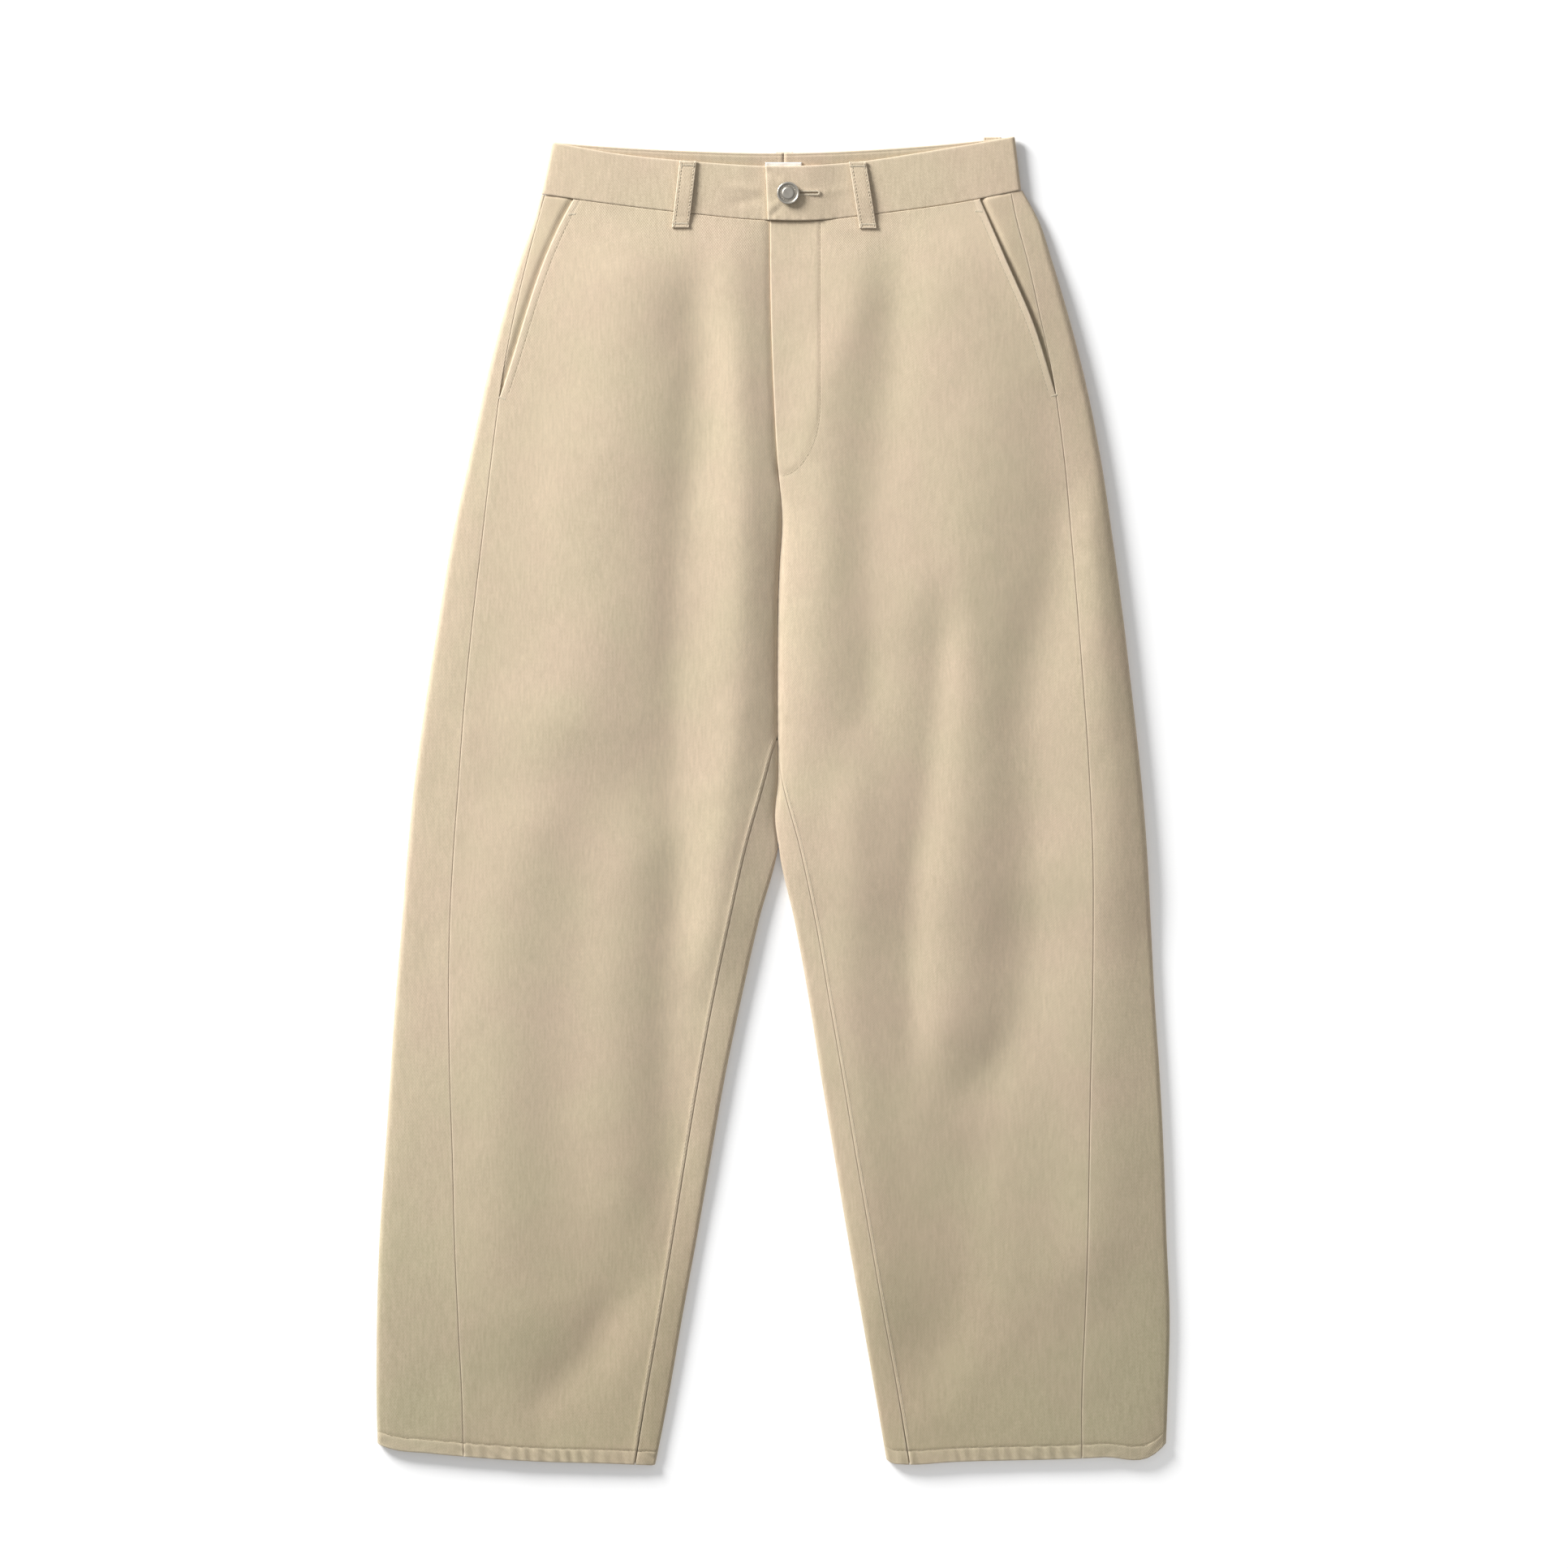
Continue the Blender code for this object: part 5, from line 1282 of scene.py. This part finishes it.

for side in ("right", "left"):
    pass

# The surface: a plain white floor with painted light on it: a glow that grows the further it lies from
# the lamp, keeping it evenly white and lightening the shadows on it.
FLOOR_HALF = 3.0
floor = plain_mesh("floor", [(-FLOOR_HALF / MM, -FLOOR_HALF / MM, -0.05),
                             (FLOOR_HALF / MM, -FLOOR_HALF / MM, -0.05),
                             (FLOOR_HALF / MM, FLOOR_HALF / MM, -0.05),
                             (-FLOOR_HALF / MM, FLOOR_HALF / MM, -0.05)], [(0, 1, 2, 3)])
floor_paint = bpy.data.materials.new("floor paint")
floor_paint.use_nodes = True
tree = floor_paint.node_tree
shader = tree.nodes["Principled BSDF"]
shader.inputs["Roughness"].default_value = 0.9
shader.inputs["Specular IOR Level"].default_value = 0.0
shader.inputs["Emission Strength"].default_value = 1.0
place = tree.nodes.new("ShaderNodeTexCoord")
spot = tree.nodes.new("ShaderNodeSeparateXYZ")
tree.links.new(place.outputs["Object"], spot.inputs[0])
# Painted light: no glow near the lamp, rising to its most at the far corner.
away_from_lamp = tree.nodes.new("ShaderNodeMapRange")
away_from_lamp.inputs["From Min"].default_value = -0.5
away_from_lamp.inputs["From Max"].default_value = 1.1
tree.links.new(math_node(tree, "SUBTRACT", spot.outputs["X"], spot.outputs["Y"]),
               away_from_lamp.inputs["Value"])
glow = mix_colour(tree, "MIX", away_from_lamp.outputs[0], (0.0, 0.0, 0.0, 1.0),
                  (0.32, 0.32, 0.32, 1.0))
tree.links.new(glow, shader.inputs["Emission Color"])
cloud = noise_node(tree, place.outputs["Object"], 3.0, 2.0)
tone = mix_colour(tree, "MIX", cloud, (0.89, 0.89, 0.89, 1.0), (0.91, 0.91, 0.91, 1.0))
tree.links.new(tone, shader.inputs["Base Color"])
floor.data.materials.append(floor_paint)

# Light: one soft lamp low down at the upper left and an even white sky.
LAMP_AT = (-2.6, 2.4, 1.43)
LAMP_AIM = (0.0, 0.05, 0.0)
lamp_data = bpy.data.lights.new("key", "AREA")
lamp_data.shape = "DISK"
lamp_data.size = 1.6
lamp_data.energy = 284.0
lamp = bpy.data.objects.new("key", lamp_data)
bpy.context.collection.objects.link(lamp)
lamp.location = LAMP_AT
away = [LAMP_AT[k] - LAMP_AIM[k] for k in range(3)]
lamp.rotation_euler = (math.atan2(math.hypot(away[0], away[1]), away[2]), 0.0,
                       math.atan2(away[1], away[0]) + math.pi / 2)
world = bpy.data.worlds.new("sky")
world.use_nodes = True
world.node_tree.nodes["Background"].inputs["Color"].default_value = (1.0, 1.0, 1.0, 1.0)
world.node_tree.nodes["Background"].inputs["Strength"].default_value = 0.42
bpy.context.scene.world = world
